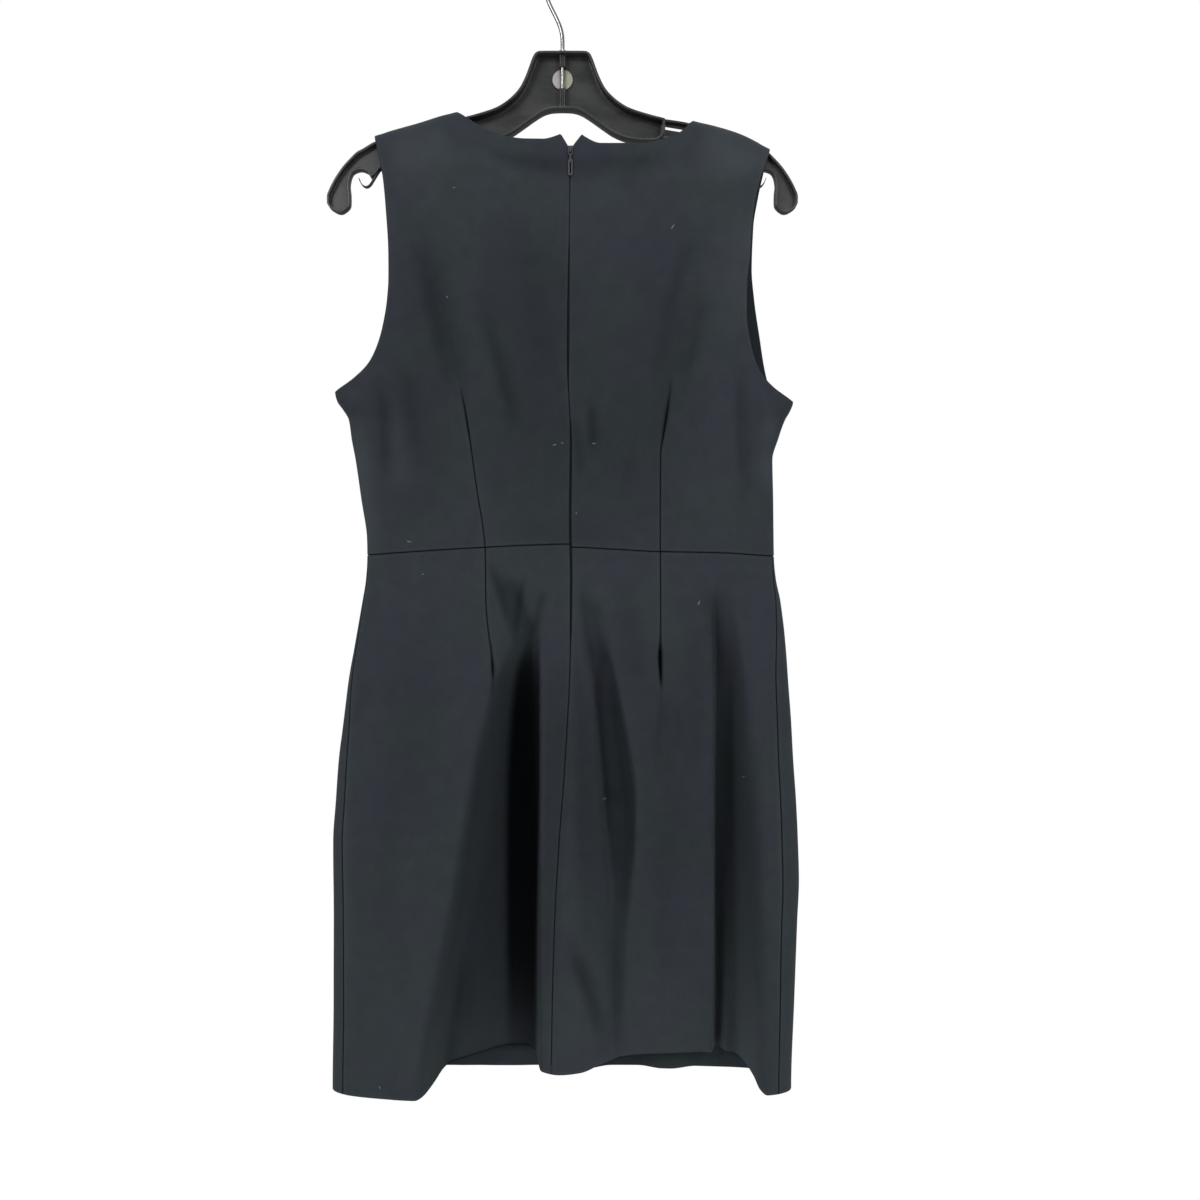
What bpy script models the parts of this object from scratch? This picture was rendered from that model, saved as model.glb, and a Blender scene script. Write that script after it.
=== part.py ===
"""A black sleeveless sheath dress hanging on a clothes hanger, seen from its back.

Frame: +Z up, +X to the wearer's right, +Y towards the dress's front. The origin is the
inside of the hook's crown, where a rail holds the hanger. Tables and sizes are in
millimetres, and MM turns them into metres where a mesh is made.

The dress is one closed tube of cloth. A height's section is a rounded shape between the
left and right outlines, with the folds pushed into it. Each panel is cut out of that tube
along its seams and given the cloth's thickness.
"""
import bpy
import numpy as np
from mathutils import Matrix, Vector

MM = 0.001
COLLECTION = "sheath_dress_on_hanger"

# Driving dimensions
CLOTH = 1.6              # thickness of the knit
SEAM_GAP = 0.3           # between two panels at a seam
HEM_HEIGHT = -1086.0     # lowest edge of the skirt
SHOULDER_RADIUS = 10.0   # how the cloth rounds over the hanger's arm
SHOULDER_POWER = 3.0     # 2 is a quarter circle, more is squarer
BACK_POWER = 2.6         # how boxy the back's section is: 2 is an ellipse
ZIP_LENGTH = 475.0
TAPE_WIDTH = 26.0
TAPE_THICKNESS = 0.8
WIRE_DIAMETER = 3.9
HOOK_RADIUS = 19.45      # of the wire's centre line
HANGER_DEPTH = 15.0      # of the moulded body, front to back
ARM_DEPTH = 10.0         # of the telescoping arms
FLANGE = 2.4             # thickness of the moulded rims
WEB = 2.4                # thickness of the moulded web
PLATE_DIAMETER = 20.0    # round plate in the hanger's body
PULL_WIDTH = 4.6
PULL_LENGTH = 15.4


class Table:
    """Rows of named columns. The first column is the place, and the others are read smoothly."""

    def __init__(self, names, *rows):
        self.names = names.split()
        self.rows = np.array(sorted(rows), float)

    def at(self, name, place):
        knots = self.rows[:, 0]
        values = self.rows[:, self.names.index(name)]
        return smooth_between(knots, values, np.asarray(place, float))


def smooth_between(knots, values, place):
    """A curve through the knots with no overshoot between them, level at and beyond both ends."""
    step = np.diff(knots)
    slope = np.diff(values) / step
    lean = np.zeros(len(knots))
    same_way = slope[:-1] * slope[1:] > 0
    product = np.where(same_way, slope[:-1] * slope[1:], 0.0)
    total = np.where(same_way, slope[:-1] + slope[1:], 1.0)
    lean[1:-1] = 2.0 * product / total
    place = np.clip(place, knots[0], knots[-1])
    i = np.clip(np.searchsorted(knots, place) - 1, 0, len(step) - 1)
    t = (place - knots[i]) / step[i]
    start = values[i] * (1 + 2 * t) + lean[i] * step[i] * t
    end = values[i + 1] * (3 - 2 * t) - lean[i + 1] * step[i] * (1 - t)
    return start * (1 - t) ** 2 + end * t ** 2


# Outline of the tube of cloth, seen from the back. Above the armholes it is the line
# that the section's rounding runs out to.
LEFT_SIDE = Table(
    "height x",
    (-150, -262), (-260, -248), (-350, -230), (-417.5, -222), (-425, -220.5), (-434, -214.3),
    (-444, -208.5), (-463, -205.6), (-483, -201.7), (-522, -195.8), (-561, -190), (-580, -189.6),
    (-600, -190.7), (-619.5, -193.6), (-658, -199.7), (-697, -206), (-735, -210.3), (-773, -214.7),
    (-812, -217.2), (-850, -219.5), (-926, -218.5), (-1003, -218.4), (-1086, -219.3))
RIGHT_SIDE = Table(
    "height x",
    (-150, 262), (-260, 250), (-350, 233), (-427.3, 225), (-434, 222.9), (-444, 217.1),
    (-463, 210.2), (-483, 204.6), (-522, 205.2), (-561, 205.4), (-580, 205.6), (-600, 207.4),
    (-619.5, 211.3), (-658, 215.6), (-697, 218.1), (-735, 220.6), (-773, 222.4), (-812, 224.9),
    (-850, 226.5), (-888, 227.4), (-926, 225.6), (-1003, 222.4), (-1086, 219.5))

# How deep the section is: where its sides, its back and its front lie (towards -Y is back),
# and how boxy the front is.
DEPTH = Table(
    "height side back front front_power",
    (-140, 0, -11.5, 11.5, 2.6), (-180, 0, -12.5, 12.5, 2.6), (-220, 1, -16, 18, 2.6),
    (-280, 2, -22, 30, 2.6), (-340, 4, -27, 42, 2.6), (-425, 5, -30, 50, 2.6), (-500, 3, -31, 46, 2.7),
    (-571, 0, -34, 40, 3.0), (-640, -5, -41, 39, 3.6), (-700, -10, -48, 40, 4.0),
    (-800, -15, -56, 42, 4.0), (-900, -18, -61, 43, 4.0), (-1000, -20, -64, 43, 4.0),
    (-1090, -20, -66, 42, 4.0))

# The line along the top of both shoulders, and on towards the neck and the arms.
SHOULDER = Table(
    "x height",
    (-262, -206), (-182.3, -169.2), (-140, -156.6), (-102.6, -146), (0, -132), (126.9, -154.6),
    (167.8, -165.3), (201.8, -181.9), (262, -218))

# Edges of the back bodice, from the shoulder's outer end down to the underarm.
BACK_ARMHOLE_LEFT = (
    (-182.3, -169.2), (-178.4, -186.8), (-172.9, -214.2), (-169.2, -252), (-167, -285),
    (-166.7, -311.3), (-167.8, -330.3), (-173.1, -360.6), (-184.4, -388.9), (-203, -407),
    (-222, -417.5))
BACK_ARMHOLE_RIGHT = (
    (201.8, -181.9), (198.5, -193), (193.1, -208.7), (187, -231.7), (182.9, -263.2),
    (181, -290), (178, -315), (177.6, -345), (181.2, -371.6), (188.6, -396), (203.8, -414.3),
    (225, -427.3))
FRONT_ARMHOLE_LEFT = (
    (-182.3, -169.2), (-177.5, -190), (-172, -215), (-166.5, -250), (-164, -285), (-163.5, -315),
    (-166, -340), (-172, -368), (-184, -392), (-203, -409), (-222, -417.5))
FRONT_ARMHOLE_RIGHT = (
    (201.8, -181.9), (196.5, -203), (191.8, -225), (187.8, -252), (187, -290), (190.1, -322),
    (195.9, -360.2), (200.8, -391), (206.5, -411), (214, -420), (225, -427.3))

# Necklines. The back one ends in a small horn at each side of the zip's top.
BACK_NECK_LEFT = (
    (-102.6, -146), (-95, -151.5), (-76, -163), (-54.9, -171.2), (-36, -173.8), (-18.4, -174.2),
    (-1.5, -169.3))
BACK_NECK_RIGHT = (
    (126.9, -154.6), (113, -168), (93.3, -175.6), (75, -178), (36.5, -178), (19, -169.8))
ZIP_TOP_LEFT = (5.5, -180.6)
ZIP_TOP_RIGHT = (10.5, -180.6)
ZIP_PARTING = 13.0       # how far below its top the zip's two sides come together
FRONT_NECK = (
    (-102.6, -146), (-99, -172), (-86, -205), (-60, -229), (-28, -242), (12, -247), (52, -243),
    (86, -231), (112, -208), (124, -180), (126.9, -154.6))

CENTRE_BACK = Table(
    "height x",
    (-180, 7.6), (-400, 6.0), (-470, 8.8), (-540, 8.2), (-600, 9.2), (-655, 8.8), (-690, 8.0),
    (-730, 6.0), (-790, 2.2), (-860, -3.2), (-930, -7.0), (-1020, -9.6), (-1090, -10.4))

# The side seams of the skirt, how far they come in from the outline on to the back.
SEAM_IN_LEFT = Table("height inset", (-577, 1.5), (-640, 2.5), (-700, 5.0), (-780, 10.5), (-1090, 13.0))
SEAM_IN_RIGHT = Table("height inset", (-577, 2.0), (-600, 3.5), (-640, 8.0), (-700, 14.0), (-780, 16.5),
                      (-880, 18.0), (-1090, 14.5))

# The waist seam dips to the sides, and its two halves miss each other at the zip.
WAIST_BACK_LEFT = Table("x height", (-190, -576), (-160, -574.5), (-92, -570.5), (-30, -567.5), (8, -566.5))
WAIST_BACK_RIGHT = Table("x height", (8, -569.5), (53, -571.5), (90, -573.5), (152, -574.5), (206, -577))
WAIST_FRONT = Table("x height", (-190, -576), (-120, -572), (8, -568), (130, -573), (206, -577))
WAIST_END_LEFT = -576.0      # height at which it meets each side seam
WAIST_END_RIGHT = -577.0
WAIST_CENTRE = 8.0           # x at which it meets the zip

# How far the hem is pulled up where the skirt falls in, seen along X.
HEM_LIFT = Table(
    "x lift",
    (-225, 0), (-138, 0), (-129, 2), (-121, 8), (-113, 17), (-104, 22), (-92, 23.5), (-36, 24),
    (-22, 13), (-4, 9), (18, 11), (42, 20), (100, 22), (148, 22), (174, 20), (182, 14), (187, 5),
    (194, 1), (225, 0))

# Folds of the skirt's back. Each is a trough between two walls: where the left wall starts
# and how wide it is, the same for the right wall, and how deep the trough is between them.
FOLD_COLUMNS = "height left left_width right right_width depth"
CENTRE_HOLLOW = Table(
    FOLD_COLUMNS,
    (-640, -62, 34, 156, 26, 0), (-720, -80, 30, 161, 26, 9), (-800, -90, 28, 166, 26, 23),
    (-900, -106, 27, 168, 25, 38), (-1000, -124, 26, 168, 25, 47), (-1090, -135, 25, 168, 25, 50))
LEFT_VALLEY = Table(
    FOLD_COLUMNS,
    (-636, -44, 12, -30, 9, 0), (-656, -48, 18, -30, 9, 12), (-700, -66, 28, -29, 8, 34),
    (-760, -80, 38, -29, 8, 46), (-850, -88, 46, -28, 8, 50), (-950, -100, 54, -28, 8, 48),
    (-1050, -108, 60, -28, 8, 45), (-1090, -110, 62, -28, 8, 43))
RIGHT_SHELF = Table(
    FOLD_COLUMNS,
    (-800, 30, 28, 152, 10, 0), (-900, 32, 28, 152, 10, 6), (-1000, 34, 26, 152, 10, 14),
    (-1090, 34, 26, 152, 10, 21))
RIGHT_VALLEY = Table(
    FOLD_COLUMNS,
    (-592, 143.5, 7, 156, 14, 0), (-650, 143, 6, 158, 14, 12), (-720, 143.5, 6, 161, 16, 25),
    (-800, 144, 6, 162, 18, 32), (-900, 145, 6, 163.5, 20, 33), (-1000, 146, 6, 165, 20, 28),
    (-1090, 146, 6, 166, 20, 23))
DIMPLE = Table(
    FOLD_COLUMNS,
    (-652, 36, 7, 43, 7, 0), (-710, 29, 9, 46, 10, 9), (-785, 32, 10, 55, 12, 14),
    (-840, 36, 10, 60, 12, 13), (-900, 42, 10, 55, 10, 8), (-940, 45, 8, 53, 8, 0))
SKIRT_FOLDS = (CENTRE_HOLLOW, LEFT_VALLEY, RIGHT_SHELF, RIGHT_VALLEY, DIMPLE)

# Soft troughs of the back bodice, from the armholes down into the waist darts, and at the sides.
BODICE_FOLDS = (
    Table(FOLD_COLUMNS, (-215, -176, 12, -160, 14, 0), (-310, -146, 18, -124, 20, 4),
          (-395, -120, 18, -104, 18, 5), (-470, -102, 14, -92, 12, 3), (-560, -92, 10, -84, 8, 0)),
    Table(FOLD_COLUMNS, (-235, 128, 14, 142, 16, 0), (-320, 100, 18, 122, 22, 4),
          (-400, 84, 18, 104, 18, 5), (-470, 82, 12, 94, 12, 3), (-560, 86, 8, 94, 10, 0)),
    Table(FOLD_COLUMNS, (-380, -188, 10, -178, 12, 0), (-450, -186, 9, -176, 11, 4),
          (-560, -181, 8, -174, 9, 2), (-650, -180, 8, -172, 9, 0)),
    Table(FOLD_COLUMNS, (-380, 160, 12, 172, 12, 0), (-450, 162, 11, 174, 11, 4),
          (-560, 166, 10, 176, 10, 2), (-650, 168, 10, 178, 10, 0)))

# Softer folds of the hidden front of the skirt. They come towards the back.
FRONT_FOLDS = (
    Table(FOLD_COLUMNS, (-640, -150, 30, -120, 30, 0), (-850, -166, 28, -140, 30, 9),
          (-1090, -176, 26, -150, 30, 15)),
    Table(FOLD_COLUMNS, (-660, 0, 26, 22, 26, 0), (-860, -4, 24, 18, 28, 8),
          (-1090, -10, 24, 18, 30, 13)),
    Table(FOLD_COLUMNS, (-640, 80, 26, 100, 26, 0), (-860, 78, 24, 104, 28, 7),
          (-1090, 74, 24, 106, 28, 10)))


# --- the cloth's surface -------------------------------------------------------------

def ease(t):
    """0 to 1 with level ends."""
    t = np.clip(t, 0.0, 1.0)
    return t * t * (3.0 - 2.0 * t)


def trough(fold, x, height):
    """How deep a fold is at a place."""
    rise = ease((x - fold.at("left", height)) / fold.at("left_width", height))
    fall = ease((x - fold.at("right", height)) / fold.at("right_width", height))
    return fold.at("depth", height) * rise * (1.0 - fall)


def over_shoulder(x, height):
    """0 on the shoulder's top line, 1 where the cloth hangs straight down."""
    below = np.clip((SHOULDER.at("height", x) - height) / SHOULDER_RADIUS, 0.0, 1.0)
    return (1.0 - (1.0 - below) ** SHOULDER_POWER) ** (1.0 / SHOULDER_POWER)


def cloth_depth(x, height, wall):
    """Y of the cloth's outer face on one wall, "back" or "front"."""
    left = LEFT_SIDE.at("x", height)
    right = RIGHT_SIDE.at("x", height)
    across = np.clip(np.abs(2.0 * x - left - right) / (right - left), 0.0, 1.0)
    power = BACK_POWER if wall == "back" else DEPTH.at("front_power", height)
    rounding = (1.0 - across ** power) ** (1.0 / power)
    side = DEPTH.at("side", height)
    depth = (side + (DEPTH.at(wall, height) - side) * rounding) * over_shoulder(x, height)
    if wall == "front":
        return depth - sum(trough(fold, x, height) for fold in FRONT_FOLDS)
    return depth + sum(trough(fold, x, height) for fold in SKIRT_FOLDS + BODICE_FOLDS)


def cloth_points(x, height, wall):
    return np.stack([x, cloth_depth(x, height, wall), height], axis=-1)


def spread(start, end, count):
    """Places from start to end, closer together near both ends."""
    return start + (end - start) * (1.0 - np.cos(np.linspace(0.0, np.pi, count))) / 2.0


# --- panels --------------------------------------------------------------------------

def even_steps(path, fractions):
    """Points of a dense path at fractions of its length, and the path's direction there."""
    length = np.concatenate([[0.0], np.cumsum(np.linalg.norm(np.diff(path, axis=0), axis=1))])
    where = np.asarray(fractions) * length[-1]
    points = np.stack([np.interp(where, length, path[:, k]) for k in range(3)], axis=1)
    middle = (length[1:] + length[:-1]) / 2.0
    steps = np.diff(path, axis=0)
    lean = np.stack([np.interp(where, middle, steps[:, k] / np.diff(length)) for k in range(3)], axis=1)
    return points, lean


def panel_grid(paths, fractions):
    """Grid of points and outward normals of a panel, from one dense path for each row."""
    rows = [even_steps(path, fractions) for path in paths]
    points = np.array([row[0] for row in rows])
    along = np.array([row[1] for row in rows])
    down = np.empty_like(points)
    down[1:-1] = points[2:] - points[:-2]
    down[0] = 4.0 * points[1] - 3.0 * points[0] - points[2]
    down[-1] = 3.0 * points[-1] - 4.0 * points[-2] + points[-3]
    normals = np.cross(down, along)
    return points, normals / np.linalg.norm(normals, axis=2, keepdims=True)


def pull_in(points, amount):
    """Move the grid's four edges in by amount, along the cloth."""
    moved = points.copy()
    for edge, inner in (((0, slice(None)), (1, slice(None))), ((-1, slice(None)), (-2, slice(None))),
                        ((slice(None), 0), (slice(None), 1)), ((slice(None), -1), (slice(None), -2))):
        towards = points[inner] - points[edge]
        moved[edge] += amount * towards / np.linalg.norm(towards, axis=1, keepdims=True)
    return moved


def wall_mesh(name, outer, inner):
    """A closed wall between two grids of points that face each other."""
    rows, columns, _ = outer.shape
    count = rows * columns
    number = np.arange(count).reshape(rows, columns)
    faces = []
    for j in range(rows - 1):
        for i in range(columns - 1):
            a, b, c, d = number[j, i], number[j + 1, i], number[j + 1, i + 1], number[j, i + 1]
            faces.append((a, b, c, d))
            faces.append((d + count, c + count, b + count, a + count))
    rim = [*number[0, :-1], *number[:-1, -1], *number[-1, :0:-1], *number[:0:-1, 0]]
    for here, there in zip(rim, rim[1:] + rim[:1]):
        faces.append((here, there, there + count, here + count))
    mesh = bpy.data.meshes.new(name)
    points = np.concatenate([outer.reshape(-1, 3), inner.reshape(-1, 3)]) * MM
    mesh.from_pydata(points.tolist(), [], [tuple(int(n) for n in face) for face in faces])
    mesh.validate()
    return mesh


def cloth_panel(name, paths, fractions, material):
    """One panel: its outer face is the surface, its inner face lies the cloth's thickness in."""
    points, normals = panel_grid(paths, fractions)
    outer = pull_in(points, SEAM_GAP / 2.0)
    inner = outer - CLOTH * normals
    return add_object(name, wall_mesh(name, outer, inner), material, smooth=True)


# --- skirt ---------------------------------------------------------------------------

def row_height(x, fraction, waist, lifted):
    """Height of a skirt's row at x, between its waist seam and its hem."""
    top = waist.at("height", x)
    hem = HEM_HEIGHT + (HEM_LIFT.at("lift", x) if lifted else 0.0)
    return top + fraction * (hem - top)


def settle(guess, find_x, fraction, waist, lifted):
    """The place on a row where x and height agree, such as on a seam that leans."""
    x = guess
    for _ in range(12):
        x = float(find_x(row_height(x, fraction, waist, lifted)))
    return x


def left_seam(height):
    return LEFT_SIDE.at("x", height) + SEAM_IN_LEFT.at("inset", height)


def right_seam(height):
    return RIGHT_SIDE.at("x", height) - SEAM_IN_RIGHT.at("inset", height)


def back_stretch(start, end, fraction, waist, samples=200):
    """Dense path on the skirt's back wall between two places."""
    x = spread(start, end, samples)
    return cloth_points(x, row_height(x, fraction, waist, True), "back")


def skirt_back_path(fraction, side):
    """A row of one half of the skirt's back, from left to right."""
    waist = WAIST_BACK_LEFT if side == "left" else WAIST_BACK_RIGHT
    centre = settle(WAIST_CENTRE, lambda height: CENTRE_BACK.at("x", height), fraction, waist, True)
    if side == "left":
        return back_stretch(settle(-200.0, left_seam, fraction, waist, True), centre, fraction, waist)
    return back_stretch(centre, settle(200.0, right_seam, fraction, waist, True), fraction, waist)


def skirt_front_path(fraction):
    """A row of the skirt's front: from the right seam round the outline to the left seam."""
    left_edge = settle(-205.0, lambda height: LEFT_SIDE.at("x", height), fraction, WAIST_BACK_LEFT, True)
    right_edge = settle(215.0, lambda height: RIGHT_SIDE.at("x", height), fraction, WAIST_BACK_RIGHT, True)
    left_start = settle(-200.0, left_seam, fraction, WAIST_BACK_LEFT, True)
    right_start = settle(200.0, right_seam, fraction, WAIST_BACK_RIGHT, True)
    x = spread(right_edge, left_edge, 400)
    front = cloth_points(x, row_height(x, fraction, WAIST_FRONT, False), "front")
    right_wrap = back_stretch(right_start, right_edge, fraction, WAIST_BACK_RIGHT, 60)
    left_wrap = back_stretch(left_edge, left_start, fraction, WAIST_BACK_LEFT, 60)
    return np.concatenate([right_wrap[:-1], front, left_wrap[1:]])


def build_skirt(cloth):
    rows = np.linspace(0.0, 1.0, 18)
    halves = np.linspace(0.0, 1.0, 25)
    for side in ("left", "right"):
        paths = [skirt_back_path(fraction, side) for fraction in rows]
        cloth_panel(f"skirt_back_{side}", paths, halves, cloth)
    paths = [skirt_front_path(fraction) for fraction in rows]
    cloth_panel("skirt_front", paths, np.linspace(0.0, 1.0, 29), cloth)


# --- bodice --------------------------------------------------------------------------

def fall_along_cloth(x, height):
    """Distance down the cloth from the shoulder's top line, round its curve."""
    below = SHOULDER.at("height", x) - height
    turn = np.arccos(np.clip(1.0 - below / SHOULDER_RADIUS, 0.0, 1.0) ** (SHOULDER_POWER / 2.0))
    quarter = SHOULDER_RADIUS * np.pi / 2.0
    return np.where(below < SHOULDER_RADIUS, SHOULDER_RADIUS * turn, below - SHOULDER_RADIUS + quarter)


def height_after(x, fall):
    """The other way round: the height that a distance down the cloth reaches."""
    quarter = SHOULDER_RADIUS * np.pi / 2.0
    turn = np.clip(fall, 0.0, quarter) / SHOULDER_RADIUS
    turned = SHOULDER_RADIUS * (1.0 - np.clip(np.cos(turn), 0.0, 1.0) ** (2.0 / SHOULDER_POWER))
    return SHOULDER.at("height", x) - np.where(fall < quarter, turned, fall - quarter + SHOULDER_RADIUS)


def rounded_route(corners, steps=12):
    """A smooth route through corner points, as (x, height)."""
    corners = np.asarray(corners, float)
    length = np.concatenate([[0.0], np.cumsum(np.linalg.norm(np.diff(corners, axis=0), axis=1))])
    where = np.linspace(0.0, length[-1], steps * len(corners))
    where = np.unique(np.concatenate([where, length]))
    return np.stack([smooth_between(length, corners[:, k], where) for k in range(2)], axis=1)


def joined(*routes):
    """Routes end to end, without doubled points."""
    points = np.concatenate(routes)
    apart = np.linalg.norm(np.diff(points, axis=0), axis=1) > 1e-6
    return points[np.concatenate([[True], apart])]


def side_of_bodice(side_table, waist_height, top):
    """The side seam, from the underarm down to the waist."""
    height = np.linspace(top, waist_height, 40)
    return np.stack([side_table.at("x", height), height], axis=1)


class Route:
    """A boundary of a bodice panel as (x, distance down the cloth), read by fractions."""

    def __init__(self, points, turning=None, turning_at=None):
        self.points = np.stack([points[:, 0], fall_along_cloth(points[:, 0], points[:, 1])], axis=1)
        length = np.concatenate([[0.0], np.cumsum(np.linalg.norm(np.diff(self.points, axis=0), axis=1))])
        self.places = length / length[-1]
        if turning is not None:
            corner = np.argmin(np.linalg.norm(points - np.array(turning), axis=1))
            before = self.places[corner]
            self.places = np.where(
                self.places < before, self.places / before * turning_at,
                turning_at + (self.places - before) / (1.0 - before) * (1.0 - turning_at))

    def at(self, fraction):
        return np.stack([np.interp(fraction, self.places, self.points[:, k]) for k in range(2)], axis=-1)


def patch_path(top, bottom, left, right, fraction, wall, outlines, samples=240):
    """A row of a panel between its four boundaries, as a dense path on the cloth.

    outlines are the outlines that the row's ends lie on below the underarm, or None.
    """
    u = spread(0.0, 1.0, samples)[:, None]
    v = fraction
    start = left.at(v)
    end = right.at(v)
    blend = (1 - v) * top.at(u[:, 0]) + v * bottom.at(u[:, 0]) + (1 - u) * start + u * end
    corners = ((1 - u) * (1 - v) * top.at(0.0) + u * (1 - v) * top.at(1.0)
               + (1 - u) * v * bottom.at(0.0) + u * v * bottom.at(1.0))
    x, fall = (blend - corners).T
    height = height_after(x, fall)
    for end, outline in zip((0, -1), outlines):
        if outline and fraction >= UNDERARM_AT:
            x[end] = outline.at("x", height[end])
    return cloth_points(x, height, wall)


def bodice_rows(underarm_at):
    """Row places: close together over the shoulder, and one exactly at the underarm."""
    over_arm = np.array([0.0, 0.009, 0.018, 0.027, 0.037])
    return np.concatenate([over_arm, np.linspace(0.07, underarm_at, 9), underarm_at + np.array([0.03, 0.07]),
                           np.linspace(underarm_at + 0.12, 1.0, 5)])


def with_corners(fractions, path, corners):
    """Fractions of a row, with one moved to each corner (x, height) and more added beside it.

    A corner is followed by the distances, along the row, of the places added beside it.
    """
    fractions = fractions.copy()
    length = np.concatenate([[0.0], np.cumsum(np.linalg.norm(np.diff(path, axis=0), axis=1))])
    added = []
    for corner, distances in corners:
        place = length[np.argmin(np.linalg.norm(path[:, [0, 2]] - np.array(corner), axis=1))]
        fractions[np.argmin(np.abs(fractions - place / length[-1]))] = place / length[-1]
        added += [(place + distance) / length[-1] for distance in distances]
    return np.sort(np.concatenate([fractions, added]))


UNDERARM_AT = 0.62
NECK_BEND = (3.5, 8.0)   # places along a neckline just past the shoulder, where it turns down


def bodice_back_routes(side):
    """The four boundaries of one half of the back bodice: top, bottom, left and right."""
    if side == "left":
        neck, zip_top, armhole = BACK_NECK_LEFT, ZIP_TOP_LEFT, BACK_ARMHOLE_LEFT
        outline, waist, waist_end = LEFT_SIDE, WAIST_BACK_LEFT, WAIST_END_LEFT
    else:
        neck, zip_top, armhole = BACK_NECK_RIGHT, ZIP_TOP_RIGHT, BACK_ARMHOLE_RIGHT
        outline, waist, waist_end = RIGHT_SIDE, WAIST_BACK_RIGHT, WAIST_END_RIGHT
    shoulder_end = armhole[0]
    horn = neck[-1]
    x = np.linspace(shoulder_end[0], neck[0][0], 40)
    shoulder = np.stack([x, SHOULDER.at("height", x)], axis=1)
    shoulder[[0, -1]] = shoulder_end, neck[0]
    top = joined(shoulder, rounded_route(neck), np.array([horn, zip_top]))
    height = np.linspace(zip_top[1], float(waist.at("height", WAIST_CENTRE)), 80)
    near_top = (zip_top[0] - CENTRE_BACK.at("x", zip_top[1])) * np.exp((height - zip_top[1]) / ZIP_PARTING)
    centre = np.stack([CENTRE_BACK.at("x", height) + near_top, height], axis=1)
    x = np.linspace(float(outline.at("x", waist_end)), centre[-1, 0], 80)
    bottom = np.stack([x, waist.at("height", x)], axis=1)
    seam = side_of_bodice(outline, bottom[0, 1], armhole[-1][1])
    outer = joined(rounded_route(armhole), seam)
    outer[-1] = bottom[0]
    bottom[-1] = centre[-1]
    return Route(top), Route(bottom), Route(outer, armhole[-1], UNDERARM_AT), Route(centre)


def build_bodice_back(cloth):
    rows = bodice_rows(UNDERARM_AT)
    for side in ("left", "right"):
        top, bottom, outer, centre = bodice_back_routes(side)
        outlines = (LEFT_SIDE if side == "left" else RIGHT_SIDE, None)
        paths = [patch_path(top, bottom, outer, centre, fraction, "back", outlines) for fraction in rows]
        neck = BACK_NECK_LEFT if side == "left" else BACK_NECK_RIGHT
        corners = ((neck[0], NECK_BEND), (neck[-1], ()))
        fractions = with_corners(np.linspace(0.0, 1.0, 13), paths[0], corners)
        if side == "right":
            paths = [path[::-1] for path in paths]
            fractions = 1.0 - fractions[::-1]
        cloth_panel(f"bodice_back_{side}", paths, fractions, cloth)


def build_bodice_front(cloth):
    """The front in one piece. Its rows run from the right side to the left, as seen from its front."""
    shoulders = []
    for start, end in ((FRONT_ARMHOLE_RIGHT[0], FRONT_NECK[-1]), (FRONT_NECK[0], FRONT_ARMHOLE_LEFT[0])):
        x = np.linspace(start[0], end[0], 40)
        line = np.stack([x, SHOULDER.at("height", x)], axis=1)
        line[[0, -1]] = start, end
        shoulders.append(line)
    top = joined(shoulders[0], rounded_route(FRONT_NECK)[::-1], shoulders[1])
    x = np.linspace(float(RIGHT_SIDE.at("x", WAIST_END_RIGHT)), float(LEFT_SIDE.at("x", WAIST_END_LEFT)), 120)
    bottom = np.stack([x, WAIST_FRONT.at("height", x)], axis=1)
    edges = []
    for armhole, outline, corner in ((FRONT_ARMHOLE_RIGHT, RIGHT_SIDE, bottom[0]),
                                     (FRONT_ARMHOLE_LEFT, LEFT_SIDE, bottom[-1])):
        edge = joined(rounded_route(armhole), side_of_bodice(outline, corner[1], armhole[-1][1]))
        edge[-1] = corner
        edges.append(Route(edge, armhole[-1], UNDERARM_AT))
    outlines = (RIGHT_SIDE, LEFT_SIDE)
    paths = [patch_path(Route(top), Route(bottom), edges[0], edges[1], fraction, "front", outlines, 420)
             for fraction in bodice_rows(UNDERARM_AT)]
    corners = ((FRONT_NECK[-1], NECK_BEND), (FRONT_NECK[0], [-distance for distance in NECK_BEND]))
    fractions = with_corners(np.linspace(0.0, 1.0, 25), paths[0], corners)
    cloth_panel("bodice_front", paths, fractions, cloth)


# --- objects, materials --------------------------------------------------------------

def add_object(name, mesh, material, smooth=False):
    part = bpy.data.objects.new(name, mesh)
    bpy.data.collections[COLLECTION].objects.link(part)
    if material:
        mesh.materials.clear()
        mesh.materials.append(material)
    if smooth:
        mesh.shade_smooth()
        mesh.set_sharp_from_angle(angle=0.7)
    return part


def make_material(name, colour, roughness, metallic=0.0):
    material = bpy.data.materials.new(name)
    material.use_nodes = True
    finish = material.node_tree.nodes["Principled BSDF"]
    finish.inputs["Base Color"].default_value = (*colour, 1.0)
    finish.inputs["Roughness"].default_value = roughness
    finish.inputs["Metallic"].default_value = metallic
    return material


def as_cutter(part):
    """Keep a tool shape out of the model."""
    part.hide_render = True
    part.display_type = "WIRE"
    for collection in part.users_collection:
        collection.objects.unlink(part)
    bpy.data.collections["cutters"].objects.link(part)
    return part


def add_boolean(part, tool, operation):
    change = part.modifiers.new(operation.lower(), "BOOLEAN")
    change.object = tool
    change.operation = operation
    change.solver = "EXACT"


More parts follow.
